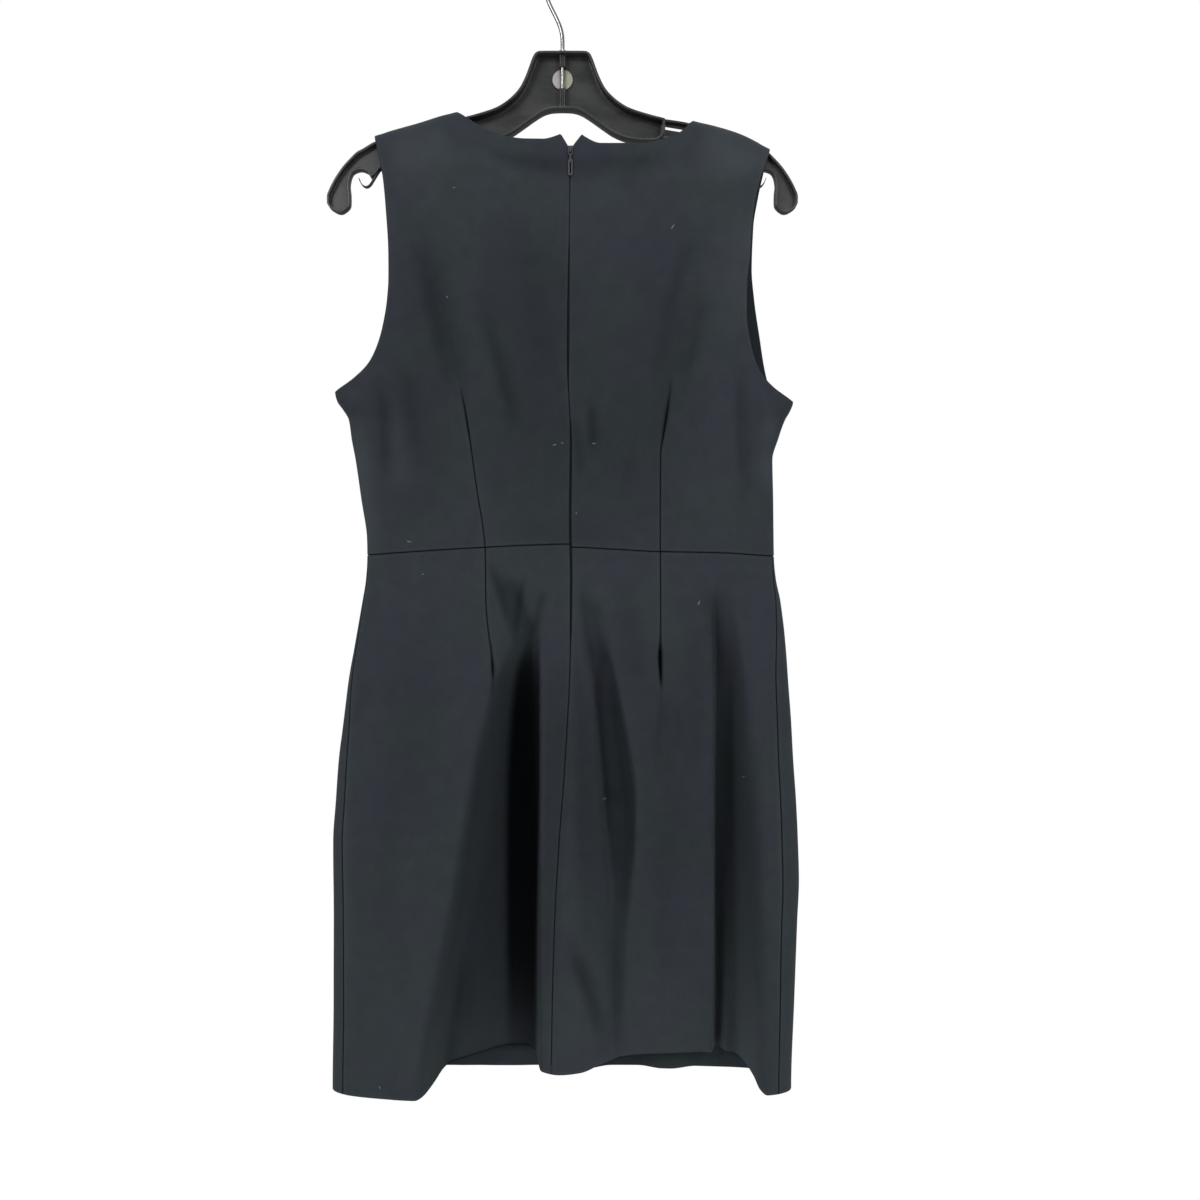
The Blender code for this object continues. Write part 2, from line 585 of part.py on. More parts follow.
def block(name, size, place, material=None):
    """A box by its size and centre, in millimetres."""
    bpy.ops.mesh.primitive_cube_add(size=1.0)
    part = bpy.context.object
    part.name = name
    part.data.transform(Matrix.Diagonal((*size, 1.0)))
    part.data.transform(Matrix.Translation(place))
    part.data.transform(Matrix.Scale(MM, 4))
    return adopt(part, material)


def rod(name, radius, depth, place, axis, material=None, sides=32):
    """A cylinder by its radius, depth and centre, in millimetres, along an axis."""
    bpy.ops.mesh.primitive_cylinder_add(vertices=sides, radius=radius, depth=depth)
    part = bpy.context.object
    part.name = name
    turn = Vector((0, 0, 1)).rotation_difference(Vector(axis)).to_matrix().to_4x4()
    part.data.transform(Matrix.Scale(MM, 4) @ Matrix.Translation(place) @ turn)
    return adopt(part, material)


def adopt(part, material):
    """Move a new primitive into the model's collection and give it its material."""
    for collection in part.users_collection:
        collection.objects.unlink(part)
    bpy.data.collections[COLLECTION].objects.link(part)
    if material:
        part.data.materials.clear()
        part.data.materials.append(material)
    return part


# --- hanger --------------------------------------------------------------------------

# Half of the moulded body: a point of its top edge and the point of its lower edge below it.
BODY_SECTIONS = Table(
    "place top_x top_z low_x low_z",
    (0, 0, -87.4, 0, -143.3), (1, 12, -87.4, 8, -143.6), (2, 22.1, -87.6, 15, -145),
    (3, 26.7, -90, 19.5, -146.9), (4, 29, -94.2, 23, -149), (5, 35.8, -112.3, 29, -153),
    (6, 41.6, -123.5, 38.9, -160.1), (7, 51.1, -133.7, 50, -167.4), (8, 63.7, -142, 63, -172.5),
    (9, 77.8, -147, 77, -174.8), (10, 89.1, -150.2, 88.5, -174.6), (11, 95.5, -151.8, 95.6, -171),
    (12, 99.4, -152.8, 99.2, -164))

# A telescoping arm from the sleeve's end to the tip of its drop end, round the strap notch.
ARM_SECTIONS = Table(
    "place top_x top_z low_x low_z",
    (0, 99.9, -152.9, 99.9, -172), (1, 120, -156, 117.7, -175), (2, 141, -162.5, 137.1, -181),
    (3, 162.4, -168.6, 155.6, -188.5), (4, 183.5, -175.4, 173.1, -197.4), (5, 189.6, -178.9, 185.4, -209),
    (6, 194, -181.6, 188.9, -204.6), (7, 199.1, -184.3, 196, -202), (8, 206.2, -191.1, 202.9, -204.4),
    (9, 214, -199.9, 205.9, -210.4), (10, 222, -212.1, 206.8, -217.1), (11, 226.1, -220.3, 206.1, -223.7),
    (12, 228.6, -227.6, 205.9, -230.5), (13, 228.5, -233.4, 206.2, -235.7), (14, 225.6, -238.8, 209, -240),
    (15, 220.6, -242.2, 213.3, -243.1))


def edge_lean(points):
    """Unit direction along a line of points."""
    lean = np.gradient(points, axis=0)
    return lean / np.linalg.norm(lean, axis=1, keepdims=True)


def channel_rings(sections, y_front, y_back, web_front, web_back):
    """Sections of a moulded channel: two rims with a web between them, as rings of 12 points."""
    rows = sections.rows
    top = rows[:, 1:3]
    low = rows[:, 3:5]
    top_lean = edge_lean(top)
    low_lean = edge_lean(low)
    down = np.stack([top_lean[:, 1], -top_lean[:, 0]], axis=1)
    up = np.stack([-low_lean[:, 1], low_lean[:, 0]], axis=1)
    under_top = top + FLANGE * down
    over_low = low + FLANGE * up
    rings = []
    for a, b, c, d in zip(top, under_top, over_low, low):
        ring = ((a, y_front), (b, y_front), (b, web_front), (c, web_front), (c, y_front), (d, y_front),
                (d, y_back), (c, y_back), (c, web_back), (b, web_back), (b, y_back), (a, y_back))
        rings.append([(x, y, z) for (x, z), y in ring])
    return np.array(rings)


def lofted(name, rings, material):
    """A closed skin over rings of points, with flat ends."""
    count, sides, _ = rings.shape
    faces = []
    for j in range(count - 1):
        for i in range(sides):
            k = (i + 1) % sides
            faces.append((j * sides + i, j * sides + k, (j + 1) * sides + k, (j + 1) * sides + i))
    faces.append(tuple(range(sides - 1, -1, -1)))
    faces.append(tuple((count - 1) * sides + i for i in range(sides)))
    mesh = bpy.data.meshes.new(name)
    mesh.from_pydata((rings.reshape(-1, 3) * MM).tolist(), [], faces)
    return add_object(name, mesh, material)


def mirrored_rings(rings):
    """Rings of the other half, so that the loft runs from one end to the other."""
    other = rings[:0:-1].copy()
    other[:, :, 0] *= -1.0
    return np.concatenate([other, rings])


BODY_TOP = -87.4                 # height of the moulded body's flat top
BODY_FRONT = -HANGER_DEPTH / 2.0
BODY_BACK = HANGER_DEPTH / 2.0
WEB_INSET = 0.4                  # the web's back face lies this far inside the rims
CLEARANCE = 0.35                 # between two hard pieces that fit together
PLATE_PLACE = (0.0, -111.8)      # x and z of the round plate's centre
PLATE_THICKNESS = 1.6
RIB_WIDTH = 6.4                  # the upright rib round the wire, and its two ends
RIB_TOP = -88.4
RIB_LOW = -142.4
RIB_COVER = 2.0                  # plastic in front of the wire
RIB_INSET = 1.2                  # from the body's back face
WIRE_RADIUS = WIRE_DIAMETER / 2.0
WIRE_FOOT = PLATE_PLACE[1] - PLATE_DIAMETER / 2.0 - 5.0
CHANNEL_TOP = -80.0              # the wire's channel, cut past the body's top
CHANNEL_FOOT = WIRE_FOOT - 1.0
SLOT_SIZE = (34.0, ARM_DEPTH + 4.0, 3.2)
SLOT_PLACE = (118.3, 0.0, -162.4)
SLOT_LEAN = 0.165                # radians down towards the drop end
SPUR_SIZE = (20.0, ARM_DEPTH - 2.0, 2.0)
SPUR_PLACE = (184.6, 0.0, -208.6)
SPUR_LEAN = 0.97                 # the thin spur that holds a strap, at the notch's inner side
CURL_SIZE = (11.6, ARM_DEPTH - 2.0, 1.5)
CURL_PLACE = (194.2, 0.0, -213.2)
CURL_LEAN = -0.8                 # the spur's end, curled up into the notch
COLLAR_RADIUS = 4.3
COLLAR_HEIGHT = 1.8
COLLAR_LIFT = 0.3                # above the body's top


def build_hanger_body(plastic, metal):
    """The moulded body with its two sleeves, an upright rib for the wire and a seat for the plate."""
    web_front = BODY_BACK - WEB
    rings = channel_rings(BODY_SECTIONS, BODY_FRONT, BODY_BACK, web_front, BODY_BACK)
    rings[:, 8:10, 1] -= WEB_INSET
    body = lofted("hanger_body", mirrored_rings(rings), plastic)
    rib_front = -WIRE_RADIUS - RIB_COVER
    rib_back = BODY_BACK - RIB_INSET
    rib = block("rib", (RIB_WIDTH, rib_back - rib_front, RIB_TOP - RIB_LOW),
                (0, (rib_back + rib_front) / 2.0, (RIB_TOP + RIB_LOW) / 2.0))
    seat_back = web_front - 0.1
    seat_front = BODY_FRONT - 4.0
    seat = rod("plate_seat", PLATE_DIAMETER / 2.0 + CLEARANCE, seat_back - seat_front,
               (PLATE_PLACE[0], (seat_back + seat_front) / 2.0, PLATE_PLACE[1]), (0, 1, 0), sides=48)
    channel = rod("wire_channel", WIRE_RADIUS + CLEARANCE, CHANNEL_TOP - CHANNEL_FOOT,
                  (0, 0, (CHANNEL_TOP + CHANNEL_FOOT) / 2.0), (0, 0, 1), sides=20)
    add_boolean(body, as_cutter(rib), "UNION")
    add_boolean(body, as_cutter(seat), "DIFFERENCE")
    add_boolean(body, as_cutter(channel), "DIFFERENCE")
    plate_back = seat_back - CLEARANCE
    rod("hanger_plate", PLATE_DIAMETER / 2.0, PLATE_THICKNESS,
        (PLATE_PLACE[0], plate_back - PLATE_THICKNESS / 2.0, PLATE_PLACE[1]), (0, 1, 0), metal, sides=48)


def build_arm(side, plastic):
    """A telescoping arm with its drop end, strap notch, curled spur and slot. The left one is mirrored."""
    half = ARM_DEPTH / 2.0
    rings = channel_rings(ARM_SECTIONS, -half, half, half - WEB - 1.0, half - 1.0)
    tools = []
    for name, size, place, lean in (("spur", SPUR_SIZE, SPUR_PLACE, SPUR_LEAN),
                                    ("curl", CURL_SIZE, CURL_PLACE, CURL_LEAN),
                                    ("slot", SLOT_SIZE, SLOT_PLACE, SLOT_LEAN)):
        tool = block(f"{name}_{side}", size, (0, 0, 0))
        tool.data.transform(Matrix.Translation(Vector(place) * MM) @ Matrix.Rotation(lean, 4, "Y"))
        tools.append(tool)
    if side == "left":
        rings = rings[::-1].copy()
        rings[:, :, 0] *= -1.0
        for tool in tools:
            tool.data.transform(Matrix.Scale(-1.0, 4, (1, 0, 0)))
            tool.data.flip_normals()
    arm = lofted(f"hanger_arm_{side}", rings, plastic)
    spur, curl, slot = tools
    add_boolean(arm, as_cutter(spur), "UNION")
    add_boolean(arm, as_cutter(curl), "UNION")
    add_boolean(arm, as_cutter(slot), "DIFFERENCE")


def wire_route():
    """Centre line of the wire: up out of the body, leaning left, then round the crown."""
    centre = np.array([0.0, -HOOK_RADIUS + WIRE_RADIUS])
    shank = [(0.0, WIRE_FOOT), (0.0, -92.0), (0.0, -76.0), (-0.6, -68.5), (-2.6, -61.0), (-6.0, -53.0)]
    start = np.radians(214.0)
    end = np.radians(-28.0)
    turns = np.linspace(start, end, 26)
    crown = [centre + HOOK_RADIUS * np.array([np.cos(turn), np.sin(turn)]) for turn in turns]
    lead_in = [(-10.0, -45.0), (-13.6, -37.0)]
    return [(x, 0.0, z) for x, z in [*shank, *lead_in, *crown]]


def build_hook(metal):
    """The wire hook, and the small collar where it leaves the body."""
    curve = bpy.data.curves.new("hook_wire", "CURVE")
    curve.dimensions = "3D"
    curve.bevel_depth = WIRE_RADIUS * MM
    curve.bevel_resolution = 2
    curve.use_fill_caps = True
    route = wire_route()
    line = curve.splines.new("POLY")
    line.points.add(len(route) - 1)
    for point, place in zip(line.points, route):
        point.co = (*(value * MM for value in place), 1.0)
    curve.materials.append(metal)
    hook = bpy.data.objects.new("hook_wire", curve)
    bpy.data.collections[COLLECTION].objects.link(hook)
    collar_place = (0, 0, BODY_TOP + COLLAR_LIFT + COLLAR_HEIGHT / 2.0)
    collar = rod("hook_collar", COLLAR_RADIUS, COLLAR_HEIGHT, collar_place, (0, 0, 1), metal, sides=24)
    bore = rod("collar_bore", WIRE_RADIUS + CLEARANCE, COLLAR_HEIGHT + 4.0, collar_place, (0, 0, 1), sides=20)
    add_boolean(collar, as_cutter(bore), "DIFFERENCE")


# --- zip -----------------------------------------------------------------------------

TAPE_TOP = -186.0
TAPE_GAP = 0.45                  # from the cloth's inner face
SLIDER_PLACE = (8.0, -186.0)     # x and z of the slider's centre
SLIDER_SIZE = (5.4, 1.6, 8.6)
SLIDER_GAP = 0.5                 # from the cloth's face
BRIDGE_WIDTH = 1.6
BRIDGE_REACH = 1.2               # from the slider's face, and from the cap, to the pull's hinge line
BRIDGE_SINK = 0.5                # of the posts into the slider and into the cap
CAP_DEPTH = 0.9
POST_LIFT = 2.0                  # of the bridge's two posts, above and below the hinge line
POST_SIZE = 1.2
PULL_THICKNESS = 1.1
EYE_WIDTH = 3.9
EYE_TOP = 0.65                   # half of the top bar that lies under the bridge
EYE_FOOT = 3.75                  # lower edge of the eye's hole, below the hinge line
EYE_RIM = 1.0                    # below the hole
NECK_WIDTH = 2.0
NECK_FOOT = 9.4                  # where the pull's loop begins, below the hinge line
SLIT_WIDTH = 1.3


def build_zip_tape(tape):
    """The zip's tape behind the centre back seam, a strip that follows the cloth."""
    heights = np.linspace(TAPE_TOP, TAPE_TOP - ZIP_LENGTH, 20)
    paths = []
    for height in heights:
        centre = float(CENTRE_BACK.at("x", height))
        x = np.linspace(centre - TAPE_WIDTH / 2.0, centre + TAPE_WIDTH / 2.0, 41)
        paths.append(cloth_points(x, np.full_like(x, height), "back"))
    points, normals = panel_grid(paths, np.linspace(0.0, 1.0, 3))
    outer = points - (CLOTH + TAPE_GAP) * normals
    inner = outer - TAPE_THICKNESS * normals
    add_object("zip_tape", wall_mesh("zip_tape", outer, inner), tape, smooth=True)


def cloth_at_slider():
    """Y of the cloth's face behind the slider."""
    return float(cloth_depth(np.array(SLIDER_PLACE[0]), np.array(SLIDER_PLACE[1]), "back"))


def hinge_place():
    """The line on which the pull tab turns: the middle of its top bar, under the bridge."""
    face = cloth_at_slider() - SLIDER_GAP - SLIDER_SIZE[1]
    return np.array([SLIDER_PLACE[0], face - BRIDGE_REACH, SLIDER_PLACE[1] - 0.5])


def build_slider(metal):
    """The zip's slider, with the bridge that holds the pull tab: two posts and a cap."""
    x, z = SLIDER_PLACE
    face = cloth_at_slider() - SLIDER_GAP - SLIDER_SIZE[1]
    hinge = hinge_place()
    slider = block("zip_slider", SLIDER_SIZE, (x, face + SLIDER_SIZE[1] / 2.0, z), metal)
    trim = slider.modifiers.new("rounding", "BEVEL")
    trim.width = 0.6 * MM
    trim.segments = 2
    cap_back = hinge[1] - BRIDGE_REACH
    post_back = face + BRIDGE_SINK
    post_front = cap_back - BRIDGE_SINK
    for name, lift in (("upper_post", POST_LIFT), ("lower_post", -POST_LIFT)):
        post = block(name, (BRIDGE_WIDTH, post_back - post_front, POST_SIZE),
                     (x, (post_back + post_front) / 2.0, hinge[2] + lift))
        add_boolean(slider, as_cutter(post), "UNION")
    cap = block("bridge_cap", (BRIDGE_WIDTH, CAP_DEPTH, 2.0 * POST_LIFT + POST_SIZE),
                (x, cap_back - CAP_DEPTH / 2.0, hinge[2]))
    add_boolean(slider, as_cutter(cap), "UNION")


def build_pull(metal):
    """The pull tab: an eye whose top bar lies under the bridge, a neck, and a long loop with a slit."""
    hinge = hinge_place()
    eye_low = EYE_FOOT + EYE_RIM
    loop_top = -NECK_FOOT
    loop_low = loop_top - PULL_LENGTH
    tip_radius = PULL_WIDTH / 2.0
    bar_low = loop_low + tip_radius
    through = 6.0 * PULL_THICKNESS
    pull = block("zip_pull", (EYE_WIDTH, PULL_THICKNESS, EYE_TOP + eye_low),
                 (0, 0, (EYE_TOP - eye_low) / 2.0), metal)
    eye_hole = block("eye_hole", (BRIDGE_WIDTH + 2 * CLEARANCE, through, EYE_FOOT - EYE_TOP),
                     (0, 0, -(EYE_FOOT + EYE_TOP) / 2.0))
    neck = block("pull_neck", (NECK_WIDTH, PULL_THICKNESS, NECK_FOOT - eye_low + 2.0 * BRIDGE_SINK),
                 (0, 0, -(NECK_FOOT + eye_low) / 2.0))
    bar = block("pull_bar", (PULL_WIDTH, PULL_THICKNESS, loop_top - bar_low),
                (0, 0, (loop_top + bar_low) / 2.0))
    tip = rod("pull_tip", tip_radius, PULL_THICKNESS, (0, 0, bar_low), (0, 1, 0), sides=24)
    slit = block("pull_slit", (SLIT_WIDTH, through, PULL_LENGTH - PULL_WIDTH),
                 (0, 0, (loop_top + loop_low) / 2.0))
    for tool in (neck, bar, tip):
        add_boolean(pull, as_cutter(tool), "UNION")
    for tool in (eye_hole, slit):
        add_boolean(pull, as_cutter(tool), "DIFFERENCE")
    for piece in (pull, eye_hole, neck, bar, tip, slit):
        piece.location = Vector(hinge) * MM


def main():
    for old in list(bpy.data.objects):
        bpy.data.objects.remove(old, do_unlink=True)
    for name in (COLLECTION, "cutters"):
        bpy.context.scene.collection.children.link(bpy.data.collections.new(name))
    cloth = make_material("black_knit", (0.028, 0.032, 0.036), 0.85)
    tape = make_material("zip_tape", (0.012, 0.012, 0.013), 0.8)
    plastic = make_material("black_plastic", (0.02, 0.021, 0.022), 0.22)
    metal = make_material("hanger_metal", (0.62, 0.62, 0.6), 0.25, 1.0)
    dark_metal = make_material("zip_metal", (0.03, 0.03, 0.033), 0.35, 0.6)
    build_bodice_back(cloth)
    build_bodice_front(cloth)
    build_skirt(cloth)
    build_zip_tape(tape)
    build_slider(dark_metal)
    build_pull(dark_metal)
    build_hanger_body(plastic, metal)
    for side in ("left", "right"):
        build_arm(side, plastic)
    build_hook(metal)


main()
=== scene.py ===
"""A black sheath dress on its clothes hanger: knit, seams, zip, moulded hanger and wire hook.

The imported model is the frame. The tables below repeat the frame's cloth surface in
millimetres, so that finer panels with seam grooves, darts and creases lie on the same form.
Meshes are in metres. +Z is up, +X is to the right of the back, and +Y goes from back to front.
"""
import math
from types import SimpleNamespace

import bmesh
import bpy
import numpy as np
from bpy.props import FloatProperty, FloatVectorProperty, IntProperty, PointerProperty
from mathutils import Color, Matrix, Vector


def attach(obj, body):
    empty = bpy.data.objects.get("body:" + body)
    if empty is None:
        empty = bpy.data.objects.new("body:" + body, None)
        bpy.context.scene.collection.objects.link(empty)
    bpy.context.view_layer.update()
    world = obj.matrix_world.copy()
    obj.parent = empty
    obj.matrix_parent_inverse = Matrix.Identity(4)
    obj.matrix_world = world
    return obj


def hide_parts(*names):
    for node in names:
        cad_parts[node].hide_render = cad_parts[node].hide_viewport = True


bl_info = {
    "name": "Sheath Dress on Hanger",
    "version": (1, 0, 0),
    "blender": (4, 5, 0),
    "location": "View3D > Sidebar > Dress",
    "description": "Builds the knit panels, zip, hanger and hook of a dress seen from its back",
    "category": "Object",
}

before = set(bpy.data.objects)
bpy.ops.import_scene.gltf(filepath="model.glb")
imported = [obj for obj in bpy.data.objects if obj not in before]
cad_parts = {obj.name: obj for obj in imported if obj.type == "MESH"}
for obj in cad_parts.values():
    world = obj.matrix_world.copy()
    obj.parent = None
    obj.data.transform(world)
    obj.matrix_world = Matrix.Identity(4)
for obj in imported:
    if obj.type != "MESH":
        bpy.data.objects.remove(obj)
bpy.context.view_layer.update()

MM = 0.001
FAR = 1e9
SHARP = 1e-6             # a radius or reach that is next to nothing
TURN = 2.0 * math.pi
DRESS = "dress"
PULL_TAB = "pull_tab"


# --- tables --------------------------------------------------------------------------

class Table:
    """Rows of named columns. The first column is the place, and the others are read smoothly."""

    def __init__(self, names, *rows):
        self.names = names.split()
        self.rows = np.array(sorted(rows), float)

    def at(self, name, place):
        column = self.rows[:, self.names.index(name)]
        return smooth_between(self.rows[:, 0], column, np.asarray(place, float))


def smooth_between(knots, values, place):
    """A curve through the knots with no overshoot between them, level at and beyond both ends."""
    step = np.diff(knots)
    slope = np.diff(values) / step
    lean = np.zeros(len(knots))
    same_way = slope[:-1] * slope[1:] > 0
    product = np.where(same_way, slope[:-1] * slope[1:], 0.0)
    total = np.where(same_way, slope[:-1] + slope[1:], 1.0)
    lean[1:-1] = 2.0 * product / total
    place = np.clip(place, knots[0], knots[-1])
    i = np.clip(np.searchsorted(knots, place) - 1, 0, len(step) - 1)
    t = (place - knots[i]) / step[i]
    start = values[i] * (1 + 2 * t) + lean[i] * step[i] * t
    end = values[i + 1] * (3 - 2 * t) - lean[i + 1] * step[i] * (1 - t)
    return start * (1 - t) ** 2 + end * t ** 2


CLOTH = 1.6
SEAM_CLEARANCE = 0.03
HEM_HEIGHT = -1086.0
SHOULDER_RADIUS = 10.0
SHOULDER_POWER = 3.0
BACK_POWER = 2.6

LEFT_SIDE = Table(
    "height x",
    (-150, -262), (-260, -248), (-350, -230), (-417.5, -222), (-425, -220.5), (-434, -214.3),
    (-444, -208.5), (-463, -205.6), (-483, -201.7), (-522, -195.8), (-561, -190), (-580, -189.6),
    (-600, -190.7), (-619.5, -193.6), (-658, -199.7), (-697, -206), (-735, -210.3), (-773, -214.7),
    (-812, -217.2), (-850, -219.5), (-926, -218.5), (-1003, -218.4), (-1086, -219.3))
RIGHT_SIDE = Table(
    "height x",
    (-150, 262), (-260, 250), (-350, 233), (-427.3, 225), (-434, 222.9), (-444, 217.1),
    (-463, 210.2), (-483, 204.6), (-522, 205.2), (-561, 205.4), (-580, 205.6), (-600, 207.4),
    (-619.5, 211.3), (-658, 215.6), (-697, 218.1), (-735, 220.6), (-773, 222.4), (-812, 224.9),
    (-850, 226.5), (-888, 227.4), (-926, 225.6), (-1003, 222.4), (-1086, 219.5))
DEPTH = Table(
    "height side back front front_power",
    (-140, 0, -11.5, 11.5, 2.6), (-180, 0, -12.5, 12.5, 2.6), (-220, 1, -16, 18, 2.6),
    (-280, 2, -22, 30, 2.6), (-340, 4, -27, 42, 2.6), (-425, 5, -30, 50, 2.6),
    (-500, 3, -31, 46, 2.7), (-571, 0, -34, 40, 3.0), (-640, -5, -41, 39, 3.6),
    (-700, -10, -48, 40, 4.0), (-800, -15, -56, 42, 4.0), (-900, -18, -61, 43, 4.0),
    (-1000, -20, -64, 43, 4.0), (-1090, -20, -66, 42, 4.0))
SHOULDER = Table(
    "x height",
    (-262, -206), (-182.3, -169.2), (-140, -156.6), (-102.6, -146), (0, -132), (126.9, -154.6),
    (167.8, -165.3), (201.8, -181.9), (262, -218))

BACK_ARMHOLE_LEFT = (
    (-182.3, -169.2), (-178.4, -186.8), (-172.9, -214.2), (-169.2, -252), (-167, -285),
    (-166.7, -311.3), (-167.8, -330.3), (-173.1, -360.6), (-184.4, -388.9), (-203, -407),
    (-222, -417.5))
BACK_ARMHOLE_RIGHT = (
    (201.8, -181.9), (198.5, -193), (193.1, -208.7), (187, -231.7), (182.9, -263.2), (181, -290),
    (178, -315), (177.6, -345), (181.2, -371.6), (188.6, -396), (203.8, -414.3), (225, -427.3))
FRONT_ARMHOLE_LEFT = (
    (-182.3, -169.2), (-177.5, -190), (-172, -215), (-166.5, -250), (-164, -285), (-163.5, -315),
    (-166, -340), (-172, -368), (-184, -392), (-203, -409), (-222, -417.5))
FRONT_ARMHOLE_RIGHT = (
    (201.8, -181.9), (196.5, -203), (191.8, -225), (187.8, -252), (187, -290), (190.1, -322),
    (195.9, -360.2), (200.8, -391), (206.5, -411), (214, -420), (225, -427.3))
BACK_NECK_LEFT = (
    (-102.6, -146), (-95, -151.5), (-76, -163), (-54.9, -171.2), (-36, -173.8), (-18.4, -174.2),
    (-1.5, -169.3))
BACK_NECK_RIGHT = (
    (126.9, -154.6), (113, -168), (93.3, -175.6), (75, -178), (36.5, -178), (19, -169.8))
ZIP_TOP_LEFT = (5.5, -180.6)
ZIP_TOP_RIGHT = (10.5, -180.6)
ZIP_PARTING = 13.0       # how far below its top the zip's two sides come together
FRONT_NECK = (
    (-102.6, -146), (-99, -172), (-86, -205), (-60, -229), (-28, -242), (12, -247), (52, -243),
    (86, -231), (112, -208), (124, -180), (126.9, -154.6))
UNDERARM_AT = 0.62       # the bodice's row that meets the underarm
NECK_CORNERS = (-102.6, 126.9)
FAN_REACH = 25.0         # how far below and beside a neck corner the rows spread away from it
FAN_WIDTH = 18.0
FAN_STRENGTH = 0.9

CENTRE_BACK = Table(
    "height x",
    (-180, 7.6), (-400, 6.0), (-470, 8.8), (-540, 8.2), (-600, 9.2), (-655, 8.8), (-690, 8.0),
    (-730, 6.0), (-790, 2.2), (-860, -3.2), (-930, -7.0), (-1020, -9.6), (-1090, -10.4))
SEAM_IN_LEFT = Table("height inset", (-577, 1.5), (-640, 2.5), (-700, 5.0), (-780, 10.5), (-1090, 13.0))
SEAM_IN_RIGHT = Table("height inset", (-577, 2.0), (-600, 3.5), (-640, 8.0), (-700, 14.0), (-780, 16.5),
                      (-880, 18.0), (-1090, 14.5))
WAIST_BACK_LEFT = Table(
    "x height", (-190, -576), (-160, -574.5), (-92, -570.5), (-30, -567.5), (8, -566.5))
WAIST_BACK_RIGHT = Table(
    "x height", (8, -569.5), (53, -571.5), (90, -573.5), (152, -574.5), (206, -577))
WAIST_FRONT = Table("x height", (-190, -576), (-120, -572), (8, -568), (130, -573), (206, -577))
WAIST_CENTRE = 8.0
HEM_LIFT = Table(
    "x lift",
    (-225, 0), (-138, 0), (-129, 2), (-121, 8), (-113, 17), (-104, 22), (-92, 23.5), (-36, 24),
    (-22, 13), (-4, 9), (18, 11), (42, 20), (100, 22), (148, 22), (174, 20), (182, 14), (187, 5),
    (194, 1), (225, 0))

FOLD_COLUMNS = "height left left_width right right_width depth"
CENTRE_HOLLOW = Table(
    FOLD_COLUMNS,
    (-640, -62, 34, 156, 26, 0), (-720, -80, 30, 161, 26, 9), (-800, -90, 28, 166, 26, 23),
    (-900, -106, 27, 168, 25, 38), (-1000, -124, 26, 168, 25, 47), (-1090, -135, 25, 168, 25, 50))
LEFT_VALLEY = Table(
    FOLD_COLUMNS,
    (-636, -44, 12, -30, 9, 0), (-656, -48, 18, -30, 9, 12), (-700, -66, 28, -29, 8, 34),
    (-760, -80, 38, -29, 8, 46), (-850, -88, 46, -28, 8, 50), (-950, -100, 54, -28, 8, 48),
    (-1050, -108, 60, -28, 8, 45), (-1090, -110, 62, -28, 8, 43))
RIGHT_SHELF = Table(
    FOLD_COLUMNS,
    (-800, 30, 28, 152, 10, 0), (-900, 32, 28, 152, 10, 6), (-1000, 34, 26, 152, 10, 14),
    (-1090, 34, 26, 152, 10, 21))
RIGHT_VALLEY = Table(
    FOLD_COLUMNS,
    (-592, 143.5, 7, 156, 14, 0), (-650, 143, 6, 158, 14, 12), (-720, 143.5, 6, 161, 16, 25),
    (-800, 144, 6, 162, 18, 32), (-900, 145, 6, 163.5, 20, 33), (-1000, 146, 6, 165, 20, 28),
    (-1090, 146, 6, 166, 20, 23))
DIMPLE = Table(
    FOLD_COLUMNS,
    (-652, 36, 7, 43, 7, 0), (-710, 29, 9, 46, 10, 9), (-785, 32, 10, 55, 12, 14),
    (-840, 36, 10, 60, 12, 13), (-900, 42, 10, 55, 10, 8), (-940, 45, 8, 53, 8, 0))
BODICE_FOLDS = (
    Table(FOLD_COLUMNS, (-215, -176, 12, -160, 14, 0), (-310, -146, 18, -124, 20, 4),
          (-395, -120, 18, -104, 18, 5), (-470, -102, 14, -92, 12, 3), (-560, -92, 10, -84, 8, 0)),
    Table(FOLD_COLUMNS, (-235, 128, 14, 142, 16, 0), (-320, 100, 18, 122, 22, 4),
          (-400, 84, 18, 104, 18, 5), (-470, 82, 12, 94, 12, 3), (-560, 86, 8, 94, 10, 0)),
    Table(FOLD_COLUMNS, (-380, -188, 10, -178, 12, 0), (-450, -186, 9, -176, 11, 4),
          (-560, -181, 8, -174, 9, 2), (-650, -180, 8, -172, 9, 0)),
    Table(FOLD_COLUMNS, (-380, 160, 12, 172, 12, 0), (-450, 162, 11, 174, 11, 4),
          (-560, 166, 10, 176, 10, 2), (-650, 168, 10, 178, 10, 0)))
BACK_FOLDS = (CENTRE_HOLLOW, LEFT_VALLEY, RIGHT_SHELF, RIGHT_VALLEY, DIMPLE) + BODICE_FOLDS
FRONT_FOLDS = (
    Table(FOLD_COLUMNS, (-640, -150, 30, -120, 30, 0), (-850, -166, 28, -140, 30, 9),
          (-1090, -176, 26, -150, 30, 15)),
    Table(FOLD_COLUMNS, (-660, 0, 26, 22, 26, 0), (-860, -4, 24, 18, 28, 8),
          (-1090, -10, 24, 18, 30, 13)),
    Table(FOLD_COLUMNS, (-640, 80, 26, 100, 26, 0), (-860, 78, 24, 104, 28, 7),
          (-1090, 74, 24, 106, 28, 10)))

